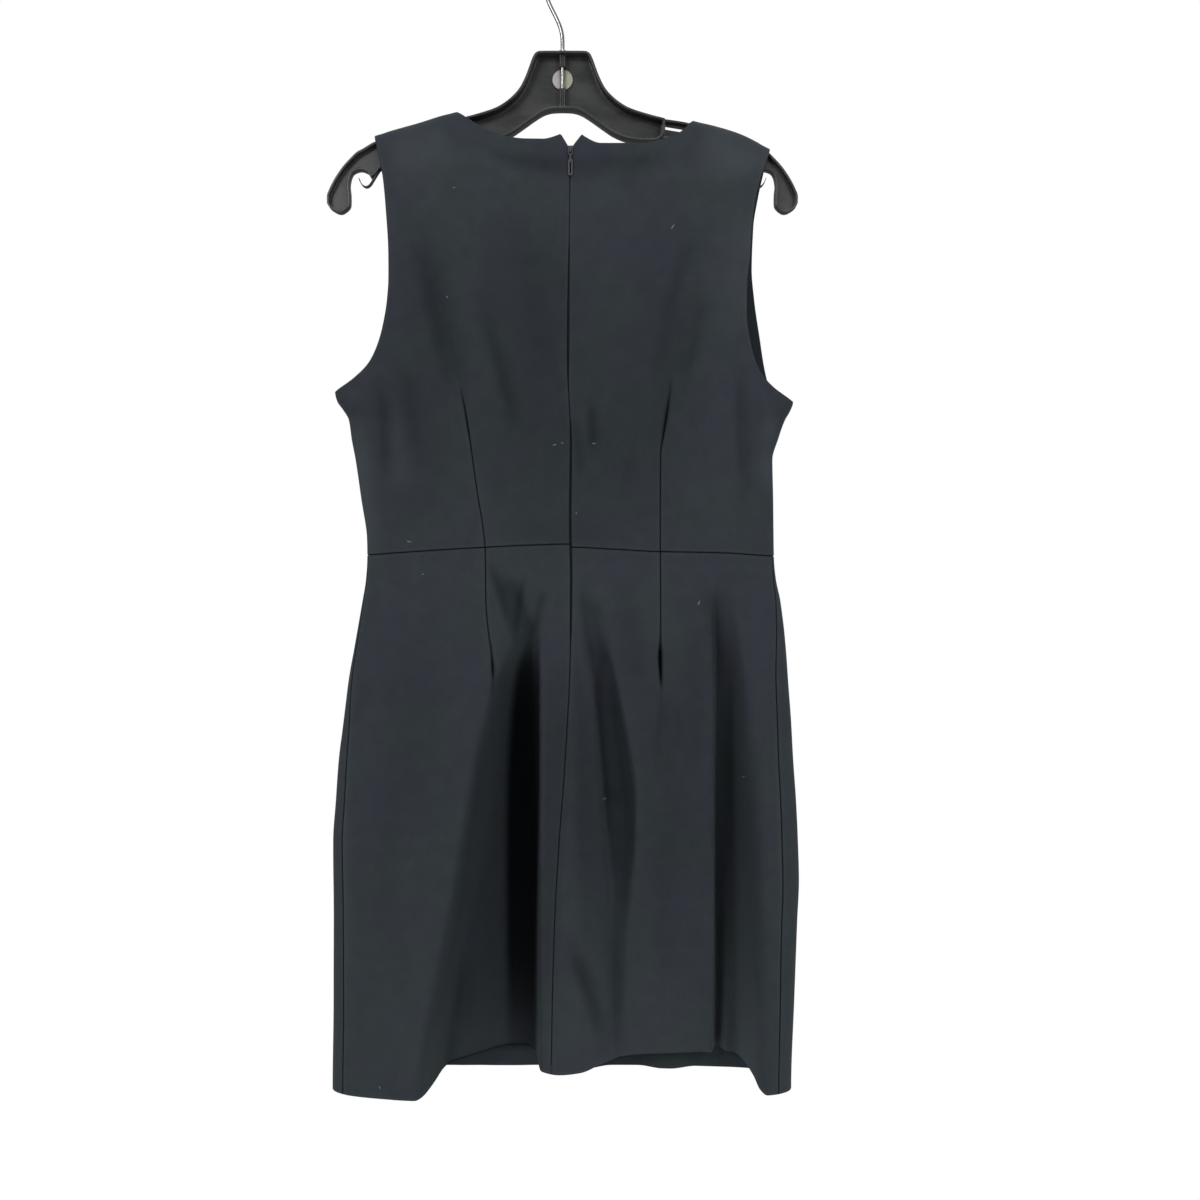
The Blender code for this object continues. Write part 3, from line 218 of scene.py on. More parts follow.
# Listed creases: depth (minus is a ridge), width to the left and to the right of the
# line, and the line's points as x and height.
BACK_CREASES = (
    (1.6, 9, 13, (-160, -245), (-136, -305), (-112, -378), (-97, -430)),
    (1.7, 5, 8, (-66, -362), (-55, -405), (-43, -468)),
    (1.2, 9, 9, (-149, -392), (-147, -440), (-142, -492)),
    (1.6, 8, 8, (-88, -168), (-60, -196), (-20, -203), (14, -200)),
    (1.8, 5, 7, (136, -325), (125, -385), (104, -455)),
    (1.5, 7, 7, (119, -330), (108, -372), (101, -415)),
    (2.4, 4, 8, (171, -385), (172, -460), (176, -545)),
    (1.5, 3.5, 5, (27, -434), (28, -455), (28, -480)),
    (1.1, 5, 6, (71, -470), (62, -508), (53, -545)),
    (1.7, 9, 12, (90, -183), (72, -205), (50, -236)),
    (1.0, 3, 5, (1, -306), (0, -322), (0, -340)),
    (1.3, 10, 10, (120, -196), (60, -199), (24, -196)),
    (-1.0, 7, 9, (-150, -540), (-146, -600), (-150, -690)),
    (5.0, 12, 6, (-58, -592), (-44, -616), (-30, -646), (-27, -668)),
    (3.2, 3, 5, (-16, -608), (-21, -630), (-26, -655)),
    (3.4, 4, 7, (28, -612), (33, -642), (39, -672), (41, -700)),
    (1.6, 4, 4, (-15, -660), (-15, -730), (-17, -810), (-19, -880)),
    (1.4, 3, 4, (16, -672), (14, -700), (17, -728)),
    (5.0, 6, 9, (6, -940), (20, -985), (32, -1020), (40, -1060)),
    (3.2, 5, 8, (49, -925), (50, -990), (53, -1060)),
    (2.2, 4, 6, (-95, -955), (-99, -990), (-107, -1035)),
    (1.5, 4, 5, (-88, -960), (-90, -1000), (-94, -1045)),
    (1.6, 4, 7, (98, -706), (93, -740), (88, -792)),
    (1.3, 4, 5, (107, -712), (111, -742), (110, -775)),
    (1.0, 4, 9, (-201, -752), (-190, -722), (-172, -690)),
    (-1.6, 8, 12, (-72, -705), (-84, -775), (-96, -850), (-110, -930)),
    (2.0, 14, 12, (60, -600), (66, -650), (72, -720)),
    (1.6, 10, 16, (128, -610), (126, -700), (128, -800)),
    (1.4, 12, 14, (100, -830), (98, -920), (104, -1010)),
    (1.2, 14, 16, (-160, -760), (-166, -860), (-168, -980)),
    (1.6, 5, 8, (39, -792), (50, -812), (58, -800)),
    (1.4, 4, 5, (44, -735), (50, -727), (53, -716)),
)
FRONT_CREASES = (
    (2.0, 12, 16, (-168, -262), (-140, -320), (-112, -392)),
    (1.6, 10, 12, (176, -280), (150, -330), (120, -400)),
    (1.4, 8, 10, (-70, -420), (-62, -470), (-50, -540)),
    (1.5, 9, 9, (84, -410), (72, -470), (64, -545)),
    (1.6, 8, 12, (-188, -420), (-180, -480), (-176, -550)),
    (1.6, 10, 8, (190, -430), (182, -490), (178, -555)),
    (1.2, 10, 12, (-60, -262), (0, -276), (60, -264)),
    (2.2, 12, 14, (-96, -600), (-104, -690), (-112, -800)),
    (1.8, 10, 16, (46, -610), (50, -700), (46, -820)),
    (2.2, 12, 14, (138, -620), (146, -740), (150, -880)),
    (1.8, 8, 12, (-40, -880), (-52, -960), (-60, -1050)),
    (1.6, 10, 10, (60, -900), (68, -980), (64, -1060)),
)

# Lines that a panel's columns follow: the back's waist darts and the line up to the neck's side.
LINE_COLUMNS = "height x groove pocket pocket_width"
DART_LEFT = Table(
    LINE_COLUMNS,
    (-146, -102.6, 0, 0, 1), (-163, -109, 0, 0, 1), (-192, -112, 0, 0, 1), (-300, -106, 0, 0, 1),
    (-405, -99, 0, 0, 1), (-434, -93.6, 0.8, 1.2, 1.6), (-455, -90, 1.2, 1.6, 1.4),
    (-480, -86, 1.2, 0.4, 1.2), (-518, -80.3, 1.2, 0, 1), (-552, -74.6, 1.2, 0, 1),
    (-574, -72.5, 1.2, 0, 1), (-620, -71.6, 1.1, 0, 1), (-647, -69.2, 1.2, 0.4, 1.6),
    (-668, -66, 1.1, 1.2, 1.8), (-682, -64.5, 0.9, 2.2, 2.2), (-697, -63.8, 0.3, 1.2, 2.4),
    (-723, -65.4, 0, 0.2, 2.5), (-800, -68, 0, 0, 1), (-1090, -92, 0, 0, 1))
DART_RIGHT = Table(
    LINE_COLUMNS,
    (-154.6, 126.9, 0, 0, 1), (-171, 133, 0, 0, 1), (-200, 135, 0, 0, 1), (-300, 118, 0, 0, 1),
    (-395, 106, 0, 0, 1), (-422, 103, 0.4, 1.2, 2.4), (-448, 99, 1.0, 2.2, 2.2),
    (-465, 96.3, 1.2, 1.4, 1.8), (-480, 94.4, 1.2, 0.2, 1.2), (-574, 93.8, 1.2, 0, 1),
    (-629, 93.9, 1.1, 0, 1), (-655, 93.7, 1.2, 1.0, 1.6), (-674, 93.5, 1.2, 4.0, 2.1),
    (-692, 94, 0.7, 2.6, 2.0), (-706, 94.6, 0.2, 0.6, 2.0), (-764, 92, 0, 0, 1),
    (-1090, 90, 0, 0, 1))
FRONT_LINE_LEFT = Table(
    LINE_COLUMNS,
    (-146, -102.6, 0, 0, 1), (-166, -112, 0, 0, 1), (-230, -114, 0, 0, 1), (-1090, -84, 0, 0, 1))
FRONT_LINE_RIGHT = Table(
    LINE_COLUMNS,
    (-154.6, 126.9, 0, 0, 1), (-174, 136, 0, 0, 1), (-240, 138, 0, 0, 1), (-1090, 96, 0, 0, 1))

# How far the zip's two lips stand apart, and how round they are.
ZIP_LIPS = Table(
    "height gap roll shade",
    (-180, 0.4, 0.8, 0.5), (-192, 0.2, 0.6, 0.4), (-270, 0.2, 0.6, 0.4), (-300, 0.7, 0.9, 0.8),
    (-380, 1.0, 1.1, 1.0), (-418, 0.2, 0.6, 0.45), (-440, 0.2, 0.6, 0.4), (-470, 0.7, 0.9, 0.8),
    (-560, 0.8, 1.1, 1.0), (-600, 0.7, 1.0, 0.9), (-648, 0.6, 0.9, 0.8), (-662, 0.03, 0.8, 0.55),
    (-1090, 0.0, 0.8, 0.5))
LIP_REACH = 5.0          # how far beside the zip its lips give way

# Where the folds are so deep that hardly any light gets in. Their depth is the share of light lost.
DEEP_SHADE = (
    Table(FOLD_COLUMNS, (-600, -30, 5, -22, 4, 0), (-652, -36, 8, -22, 4, 0.25),
          (-690, -49, 10, -22, 4, 0.8), (-730, -54, 9, -22, 4, 0.93), (-800, -59, 9, -23, 4, 0.95),
          (-880, -60, 8, -26, 5, 0.95), (-960, -60, 8, -29, 7, 0.93),
          (-1010, -60, 10, -30, 8, 0.75), (-1050, -62, 14, -30, 9, 0.4),
          (-1090, -62, 14, -30, 9, 0.25)),
    Table(FOLD_COLUMNS, (-645, -60, 12, -22, 4, 0), (-713, -73, 14, -22, 4, 0.35),
          (-787, -90, 14, -22, 4, 0.42), (-844, -98, 14, -22, 4, 0.42),
          (-887, -106, 15, -22, 4, 0.42), (-945, -117, 16, -22, 4, 0.4),
          (-1002, -130, 17, -22, 4, 0.38), (-1060, -138, 20, -22, 4, 0.32)),
    Table(FOLD_COLUMNS, (-600, 140, 4, 150, 14, 0), (-650, 141, 4, 152, 20, 0.25),
          (-700, 142, 4, 160, 24, 0.33), (-772, 143, 4, 168, 24, 0.38),
          (-830, 144, 4, 174, 22, 0.4), (-900, 145, 6, 178, 20, 0.34), (-980, 146, 8, 182, 18, 0.2),
          (-1040, 146, 8, 182, 16, 0.08), (-1090, 146, 8, 182, 16, 0.05)),
    Table(FOLD_COLUMNS, (-640, 23, 5, 36, 5, 0), (-677, 25, 5, 45, 5, 0.4), (-730, 31, 5, 57, 5, 0.52),
          (-813, 39, 5, 69, 4, 0.52), (-867, 45, 5, 67.5, 4, 0.48), (-903, 48, 5, 64, 4, 0.4),
          (-938, 47, 5, 60, 5, 0.3), (-1040, 48, 6, 55, 6, 0.12), (-1080, 48, 6, 54, 6, 0)),
    Table(FOLD_COLUMNS, (-650, 8, 10, 34, 8, 0), (-720, 8, 12, 36, 8, 0.2), (-820, 8, 12, 42, 8, 0.26),
          (-900, 10, 14, 44, 10, 0.18), (-970, 14, 14, 48, 10, 0.05), (-1000, 14, 14, 48, 10, 0)),
    Table(FOLD_COLUMNS, (-650, -16, 6, 6, 6, 0), (-720, -16, 6, 4, 8, 0.15), (-800, -18, 6, 0, 8, 0.2),
          (-900, -22, 6, -6, 8, 0.2), (-1000, -24, 6, -9, 8, 0.14), (-1060, -24, 6, -10, 8, 0.05)))

# Soft tones of the cloth, laid like the creases: the first column is the share of light lost
# as painted shade, and minus is painted light, shown in the lighter knit colour.
BACK_PAINTED_TONES = (
    (0.22, 9, 11, (-140, -268), (-130, -305), (-122, -345), (-111, -395), (-98, -445)),
    (0.16, 6, 8, (-82, -312), (-68, -365), (-53, -425), (-44, -480)),
    (0.30, 8, 8, (-181, -396), (-172, -430), (-170, -470), (-167, -512)),
    (0.14, 9, 9, (-152, -380), (-146, -430), (-141, -500)),
    (0.22, 4, 6, (27, -424), (29, -455), (30, -488)),
    (0.14, 4, 5, (12, -440), (15, -470), (18, -505)),
    (0.08, 6, 8, (106, -380), (99, -425), (96, -462), (95, -500)),
    (0.14, 10, 10, (142, -300), (130, -340), (119, -385), (106, -425)),
    (0.10, 8, 8, (132, -230), (112, -300), (96, -372), (84, -440)),
    (0.24, 12, 16, (-66, -184), (-32, -199), (8, -203), (52, -199), (86, -190)),
    (0.10, 14, 20, (-60, -232), (-30, -300), (-20, -372), (-14, -430)),
    (-0.24, 22, 24, (-176, -190), (-150, -186), (-118, -176), (-100, -170)),
    (-0.34, 24, 26, (124, -176), (150, -182), (178, -196), (186, -220)),
    (-0.16, 16, 18, (182, -226), (172, -262), (168, -320), (160, -380)),
    (-0.30, 10, 10, (204, -424), (200, -470), (198, -525)),
    (-0.42, 12, 12, (-206, -428), (-198, -480), (-190, -540), (-188, -600)),
    (-0.16, 14, 14, (-158, -420), (-156, -470), (-152, -530)),
    (0.12, 16, 14, (-60, -540), (-20, -556), (20, -558), (60, -552)),
    (0.14, 34, 40, (96, -640), (100, -720), (104, -800), (104, -880), (106, -940)),
    (0.12, 12, 14, (6, -690), (10, -760), (14, -830), (20, -900)),
    (0.24, 64, 74, (-60, -180), (-40, -330), (-20, -460), (-10, -600)),
    (0.16, 44, 48, (100, -170), (92, -320), (76, -460), (70, -620)),
    (0.16, 34, 34, (-150, -200), (-140, -330), (-136, -430), (-130, -600)),
    (0.12, 36, 36, (-140, -600), (-140, -700), (-140, -800), (-140, -880)),
    (-0.10, 60, 60, (-220, -1030), (-120, -1035), (0, -1040), (120, -1035), (220, -1030)),
    (0.42, 4, 6, (-72, -578), (-62, -600), (-54, -626), (-47, -656)),
    (0.45, 5, 3, (-33, -590), (-38, -612), (-42, -640), (-46, -668)),
    (0.34, 4, 7, (18, -596), (22, -630), (26, -668), (27, -700)),
    (0.26, 7, 10, (132, -590), (142, -625), (150, -668), (154, -710)),
    (-0.26, 7, 8, (203, -700), (212, -780), (214, -900), (213, -1000), (210, -1080)),
    (-0.30, 8, 10, (-203, -640), (-212, -760), (-212, -900), (-210, -1010), (-209, -1080)),
)

# How far up from the hem its shade reaches.
HEM_SHADE = Table(
    "x reach", (-118, 0), (-108, 2), (-36, 2), (-28, 0), (60, 0), (70, 1.4), (136, 1.4), (146, 0))
FACING = 8.0             # how far beside the neckline and the armholes their facing ends
SEAM_SHADE = 0.93        # share of light lost at the bottom of a seam
SEAM_REACH = 0.7
DART_REACH = 0.65
RUB_PLACE = 2.0          # how far beside a seam its rubbed edge is, and how wide
RUB_WIDTH = 1.2
PAINTED_LIGHT_GAIN = 11.0            # how strongly a minus tone shows as painted light, in the lighter knit colour
CREASE_SHADE = 0.07      # share of light lost for each millimetre of a crease's depth
BODICE_FALL = 410.0      # about how long the panels are down the cloth, for their rows
SKIRT_FALL = 515.0
TAPE_TOP = -186.0
TAPE_LOW = -661.0
TAPE_HALF = 13.0
TAPE_SINK = 0.45         # between the cloth's inner face and the tape
COIL_TOP = -190.0
COIL_LOW = -655.0
STITCH_STEP = 2.0        # between the points of a line of stitches
STITCH_LENGTH = 1.9
CAST_ROUNDING = 0.22     # of the edges of the slider and the pull tab
# Slow waves of the cloth: size, turns along x and down, and start.
WAVES = ((0.45, 0.061, 0.013, 0.4), (0.35, -0.037, 0.031, 2.1), (0.18, 0.154, 0.047, 4.4),
         (0.12, -0.213, 0.118, 1.2))

# Each half of the back and what bounds it. inward is the way from its side to the centre.
HALVES = {
    "left": SimpleNamespace(
        name="left", inward=1.0, outline=LEFT_SIDE, seam_in=SEAM_IN_LEFT, dart=DART_LEFT,
        waist=WAIST_BACK_LEFT, waist_end=-576.0, neck=BACK_NECK_LEFT, zip_top=ZIP_TOP_LEFT,
        armhole=BACK_ARMHOLE_LEFT, front_armhole=FRONT_ARMHOLE_LEFT),
    "right": SimpleNamespace(
        name="right", inward=-1.0, outline=RIGHT_SIDE, seam_in=SEAM_IN_RIGHT, dart=DART_RIGHT,
        waist=WAIST_BACK_RIGHT, waist_end=-577.0, neck=BACK_NECK_RIGHT, zip_top=ZIP_TOP_RIGHT,
        armhole=BACK_ARMHOLE_RIGHT, front_armhole=FRONT_ARMHOLE_RIGHT)}


# --- the cloth's surface -------------------------------------------------------------

def lengths_along(points):
    """How far along its line each point is. The axis before the last one runs along the lines."""
    steps = np.linalg.norm(np.diff(points, axis=-2), axis=-1)
    return np.concatenate([np.zeros((*steps.shape[:-1], 1)), np.cumsum(steps, axis=-1)], axis=-1)


def unit(vectors):
    return vectors / np.linalg.norm(vectors, axis=-1, keepdims=True)


def bell(away, width):
    return np.exp(-(away / width) ** 2)


def ease(t):
    t = np.clip(t, 0.0, 1.0)
    return t * t * (3.0 - 2.0 * t)


def trough(fold, x, height):
    rise = ease((x - fold.at("left", height)) / fold.at("left_width", height))
    fall = ease((x - fold.at("right", height)) / fold.at("right_width", height))
    return fold.at("depth", height) * rise * (1.0 - fall)


def over_shoulder(x, height):
    below = np.clip((SHOULDER.at("height", x) - height) / SHOULDER_RADIUS, 0.0, 1.0)
    return (1.0 - (1.0 - below) ** SHOULDER_POWER) ** (1.0 / SHOULDER_POWER)


def crease_depth(crease, x, height):
    """Depth of one listed crease, deepest in the middle of its line."""
    depth, left_width, right_width, *line = crease
    line = np.array(line, float)
    length = lengths_along(line)
    nearest = np.full(x.shape, FAR)
    beside = np.zeros(x.shape)
    along = np.zeros(x.shape)
    for start, end, before, after in zip(line[:-1], line[1:], length[:-1], length[1:]):
        step = end - start
        t = np.clip(((x - start[0]) * step[0] + (height - start[1]) * step[1]) / (step @ step), 0.0, 1.0)
        off_x = x - start[0] - t * step[0]
        off_z = height - start[1] - t * step[1]
        away = np.hypot(off_x, off_z)
        closer = away < nearest
        side = np.sign(step[0] * off_z - step[1] * off_x)
        nearest = np.where(closer, away, nearest)
        beside = np.where(closer, side, beside)
        along = np.where(closer, before + t * (after - before), along)
    width = np.where(beside < 0, left_width, right_width)
    taper = ease(np.minimum(along, length[-1] - along) / (0.35 * length[-1]))
    return depth * taper * bell(nearest, width)


def waviness(x, height):
    return sum(size * np.sin(along * x + down * height + turn) for size, along, down, turn in WAVES)


def cloth_depth(x, height, wall):
    """Y of the cloth's outer face on one wall, "back" or "front"."""
    left = LEFT_SIDE.at("x", height)
    right = RIGHT_SIDE.at("x", height)
    across = np.clip(np.abs(2.0 * x - left - right) / (right - left), 0.0, 1.0)
    power = BACK_POWER if wall == "back" else DEPTH.at("front_power", height)
    rounding = (1.0 - across ** power) ** (1.0 / power)
    side = DEPTH.at("side", height)
    shoulder = over_shoulder(x, height)
    depth = (side + (DEPTH.at(wall, height) - side) * rounding) * shoulder
    calm = ease((1.0 - across) / 0.12) * shoulder
    folds, creases, into = ((FRONT_FOLDS, FRONT_CREASES, -1.0) if wall == "front"
                            else (BACK_FOLDS, BACK_CREASES, 1.0))
    depth += into * sum(trough(fold, x, height) for fold in folds)
    fine = sum(crease_depth(crease, x, height) for crease in creases) + waviness(x, height)
    return depth + into * calm * fine


def cloth_points(x, height, wall):
    return np.stack([x, cloth_depth(x, height, wall), height], axis=-1)


def spread(start, end, count):
    """Places from start to end, closer together near both ends."""
    return start + (end - start) * (1.0 - np.cos(np.linspace(0.0, np.pi, count))) / 2.0


# --- rows of a panel -----------------------------------------------------------------

def row_height(x, fraction, waist, lifted):
    top = waist.at("height", x)
    hem = HEM_HEIGHT + (HEM_LIFT.at("lift", x) if lifted else 0.0)
    return top + fraction * (hem - top)


def settle(find_x, fraction, waist):
    """The place on each row where x and height agree, such as on a seam that leans."""
    x = np.full(len(fraction), find_x(HEM_HEIGHT))
    for _ in range(12):
        x = find_x(row_height(x, fraction, waist, True))
    return x


def seam_x(half, height):
    """Where the front wraps round to the back: x of the side seam."""
    return half.outline.at("x", height) + half.inward * half.seam_in.at("inset", height)


def from_left(half, outer, inner):
    """A half's outer and inner thing in the order from left to right."""
    return (outer, inner) if half.inward > 0 else (inner, outer)


def stretch(start, end, fraction, waist, wall, samples):
    x = start[:, None] + (end - start)[:, None] * spread(0.0, 1.0, samples)[None, :]
    return cloth_points(x, row_height(x, fraction[:, None], waist, wall == "back"), wall)


def skirt_back_rows(fraction, half, samples=1000):
    centre = settle(lambda height: CENTRE_BACK.at("x", height), fraction, half.waist)
    outer = settle(lambda height: seam_x(half, height), fraction, half.waist)
    return stretch(*from_left(half, outer, centre), fraction, half.waist, "back", samples)


def skirt_front_rows(fraction, samples=1000, wrap_samples=80):
    """Rows from the right side seam round the front to the left side seam."""
    edges, wraps = {}, {}
    for side, half in HALVES.items():
        edges[side] = settle(lambda height: half.outline.at("x", height), fraction, half.waist)
        seam = settle(lambda height: seam_x(half, height), fraction, half.waist)
        ends = from_left(half, edges[side], seam)
        wraps[side] = stretch(*ends, fraction, half.waist, "back", wrap_samples)
    front = stretch(edges["right"], edges["left"], fraction, WAIST_FRONT, "front", samples)
    return np.concatenate([wraps["right"][:, :-1], front, wraps["left"][:, 1:]], axis=1)


def fall_along_cloth(x, height):
    """Distance down the cloth from the shoulder's top line, round its curve."""
    below = SHOULDER.at("height", x) - height
    turn = np.arccos(np.clip(1.0 - below / SHOULDER_RADIUS, 0.0, 1.0) ** (SHOULDER_POWER / 2.0))
    quarter = SHOULDER_RADIUS * np.pi / 2.0
    return np.where(below < SHOULDER_RADIUS, SHOULDER_RADIUS * turn, below - SHOULDER_RADIUS + quarter)


def height_after(x, fall):
    """The other way round: the height that a distance down the cloth reaches."""
    quarter = SHOULDER_RADIUS * np.pi / 2.0
    turn = np.clip(fall, 0.0, quarter) / SHOULDER_RADIUS
    turned = SHOULDER_RADIUS * (1.0 - np.clip(np.cos(turn), 0.0, 1.0) ** (2.0 / SHOULDER_POWER))
    return SHOULDER.at("height", x) - np.where(fall < quarter, turned, fall - quarter + SHOULDER_RADIUS)


def rounded_route(corners, steps=24):
    """A smooth route through corner points, as (x, height)."""
    corners = np.asarray(corners, float)
    length = lengths_along(corners)
    where = np.unique(np.concatenate([np.linspace(0.0, length[-1], steps * len(corners)), length]))
    return np.stack([smooth_between(length, corners[:, k], where) for k in range(2)], axis=1)


def joined(*routes):
    points = np.concatenate(routes)
    apart = np.linalg.norm(np.diff(points, axis=0), axis=1) > SHARP
    return points[np.concatenate([[True], apart])]


def along_shoulder(start, end):
    """The shoulder's top line between two corners."""
    x = np.linspace(start[0], end[0], 60)
    line = np.column_stack([x, SHOULDER.at("height", x)])
    line[[0, -1]] = start, end
    return line


class Route:
    """A boundary of a bodice panel as (x, distance down the cloth), read by fractions."""

    def __init__(self, points, turning=None):
        self.points = np.stack([points[:, 0], fall_along_cloth(points[:, 0], points[:, 1])], axis=1)
        length = lengths_along(self.points)
        self.length = length[-1]
        self.places = length / length[-1]
        if turning is not None:
            before = self.places[np.argmin(np.linalg.norm(points - np.array(turning), axis=1))]
            self.places = np.where(
                self.places < before, self.places / before * UNDERARM_AT,
                UNDERARM_AT + (self.places - before) / (1.0 - before) * (1.0 - UNDERARM_AT))

    def at(self, fraction):
        return np.stack([np.interp(fraction, self.places, self.points[:, k]) for k in range(2)], axis=-1)


def outer_route(armhole, outline, corner):
    """Down an armhole and on down the side seam to a corner at the waist."""
    height = np.linspace(armhole[-1][1], corner[1], 80)
    route = joined(rounded_route(armhole), np.column_stack([outline.at("x", height), height]))
    route[-1] = corner
    return Route(route, armhole[-1])


def bodice_rows(top, bottom, left, right, fraction, wall, outlines, samples):
    """Rows of a bodice panel between its four boundaries, as dense points on the cloth."""
    u = spread(0.0, 1.0, samples)[None, :, None]
    v = fraction[:, None, None]
    across = u[0, :, 0]
    blend = (1 - v) * top.at(across)[None] + v * bottom.at(across)[None]
    for side, end, reach in ((left, 0.0, (1 - u) ** 2), (right, 1.0, u ** 2)):
        straight = (1 - v) * top.at(end) + v * bottom.at(end)
        blend = blend + reach * (side.at(fraction)[:, None, :] - straight)
    x, fall = np.moveaxis(blend, -1, 0)
    below = np.clip(fall - top.at(across)[None, :, 1], 0.0, None)
    for corner in NECK_CORNERS:
        gap = np.abs(top.points - (corner, 0.0)).sum(axis=1)
        near = np.argmin(gap)
        if gap[near] < 1.0:
            beside = (across - top.places[near]) * top.length
            fan = below * np.exp(-below / FAN_REACH) * bell(beside, FAN_WIDTH)
            x = x + math.copysign(FAN_STRENGTH, corner) * fan
    height = height_after(x, fall)
    low = fraction >= UNDERARM_AT
    for place, outline in zip((0, -1), outlines):
        if outline:
            x[low, place] = outline.at("x", height[low, place])
    return cloth_points(x, height, wall)


def bodice_back_edges(half):
    """The four boundaries of one half of the back bodice: top, bottom, outer side and centre."""
    zip_x, zip_height = half.zip_top
    top = joined(along_shoulder(half.armhole[0], half.neck[0]), rounded_route(half.neck),
                 np.array([half.neck[-1], half.zip_top]))
    height = np.linspace(zip_height, float(half.waist.at("height", WAIST_CENTRE)), 160)
    parting = (zip_x - CENTRE_BACK.at("x", zip_height)) * np.exp((height - zip_height) / ZIP_PARTING)
    centre = np.column_stack([CENTRE_BACK.at("x", height) + parting, height])
    x = np.linspace(float(half.outline.at("x", half.waist_end)), centre[-1, 0], 160)
    bottom = np.column_stack([x, half.waist.at("height", x)])
    bottom[-1] = centre[-1]
    return Route(top), Route(bottom), outer_route(half.armhole, half.outline, bottom[0]), Route(centre)


def bodice_front_edges():
    left, right = HALVES["left"], HALVES["right"]
    top = joined(along_shoulder(right.front_armhole[0], FRONT_NECK[-1]), rounded_route(FRONT_NECK)[::-1],
                 along_shoulder(FRONT_NECK[0], left.front_armhole[0]))
    ends = [float(half.outline.at("x", half.waist_end)) for half in (right, left)]
    x = np.linspace(*ends, 240)
    bottom = np.column_stack([x, WAIST_FRONT.at("height", x)])
    return (Route(top), Route(bottom), outer_route(right.front_armhole, right.outline, bottom[0]),
            outer_route(left.front_armhole, left.outline, bottom[-1]))


# --- a panel's grid ------------------------------------------------------------------

BESIDE = np.array([0.35, 0.75, 1.2, 1.75, 2.5, 3.6])     # steps beside an edge or a line


def crossing(points, lengths, line):
    """Where each row crosses a line, as a length along the row."""
    over = points[:, :, 0] - line.at("x", points[:, :, 2])
    if over[0, 0] > 0:
        over = -over
    after = np.argmax(over > 0, axis=1)
    rows = np.arange(len(points))
    low, high = over[rows, after - 1], over[rows, after]
    share = low / (low - high)
    return lengths[rows, after - 1] * (1 - share) + lengths[rows, after] * share


def crowded(start, end, spacing):
    """Places from start to end on every row, crowded beside both. The end itself is left out."""
    room = (end - start)[:, None]
    near = BESIDE[None, :] * np.minimum(1.0, room / (3.0 * BESIDE[-1]))
    inside = room - 2.0 * near[:, -1:]
    count = max(3, int(np.ceil(inside.max() / spacing)) + 1)
    between = near[:, -1:] + inside * np.linspace(0.0, 1.0, count)[None, 1:-1]
    places = [np.zeros_like(room), near, between, room - near[:, ::-1]]
    return start[:, None] + np.concatenate(places, axis=1)


def crowded_fractions(total, spacing, turns=()):
    """Fractions of a length for rows, crowded beside both ends and beside each turn."""
    stops = [0.0, *turns, 1.0]
    places = [crowded(np.array([a * total]), np.array([b * total]), spacing)[0]
              for a, b in zip(stops, stops[1:])]
    return np.concatenate(places + [[total]]) / total


def rounded_edge(away, radius):
    """How far a face drops beside an edge that is rolled to a radius."""
    near = np.clip(radius - away, 0.0, None)
    return radius - np.sqrt(np.clip(radius ** 2 - near ** 2, 0.0, None))


class Panel:
    """A grid of one cloth panel: outer points, normals and distances from its four edges."""

    def __init__(self, rows, lines, spacing):
        lengths = lengths_along(rows)
        crossings = [crossing(rows, lengths, line) for line in lines]
        marks = [np.zeros(len(rows)), *crossings, lengths[:, -1]]
        places = np.concatenate(
            [crowded(a, b, spacing) for a, b in zip(marks, marks[1:])] + [marks[-1][:, None]], axis=1)
        self.points = np.stack([[np.interp(place, length, row[:, k]) for k in range(3)]
                                for place, length, row in zip(places, lengths, rows)]).transpose(0, 2, 1)
        self.lines = [(line, np.abs(places - mark[:, None])) for line, mark in zip(lines, marks[1:])]
        self.from_left = places
        self.from_right = lengths[:, -1:] - places
        self.from_top = lengths_along(self.points.transpose(1, 0, 2)).T
        self.from_bottom = self.from_top[-1:] - self.from_top
        across = lengths_along(self.points[:, :, :2])
        middle = np.argmin(np.abs(self.points[len(rows) // 2, :, 0] - WAIST_CENTRE))
        fall = fall_along_cloth(self.points[:, :, 0], self.points[:, :, 2])
        self.cloth_map = np.stack([across - across[:, middle, None], -fall], axis=-1)

    def normals(self):
        """Each point's normal, from the areas of the faces round it."""
        grid = self.points
        face = np.cross(grid[1:, 1:] - grid[:-1, :-1], grid[:-1, 1:] - grid[1:, :-1])
        normals = np.zeros_like(grid)
        for down in (slice(0, -1), slice(1, None)):
            for along in (slice(0, -1), slice(1, None)):
                normals[down, along] += face
        return unit(normals)

    def pull_edges(self):
        """Keep the panels just clear of each other in the seams."""
        moved = self.points.copy()
        every = slice(None)
        for edge, inner in (((0, every), (1, every)), ((-1, every), (-2, every)),
                            ((every, 0), (every, 1)), ((every, -1), (every, -2))):
            moved[edge] += SEAM_CLEARANCE * unit(self.points[inner] - self.points[edge])
        self.points = moved

    def part_lips(self, half):
        """Open the zip's lips: the side at the centre back moves away from it."""
        away = self.from_right if half.inward > 0 else self.from_left
        shift = 0.5 * ZIP_LIPS.at("gap", self.points[:, :, 2]) * np.exp(-away / LIP_REACH)
        self.points[:, :, 0] -= half.inward * shift


def quads(a, b, c, d):
    """Faces from four arrays of point numbers, one for each corner."""
    return np.stack([a, b, c, d], axis=-1).reshape(-1, 4)


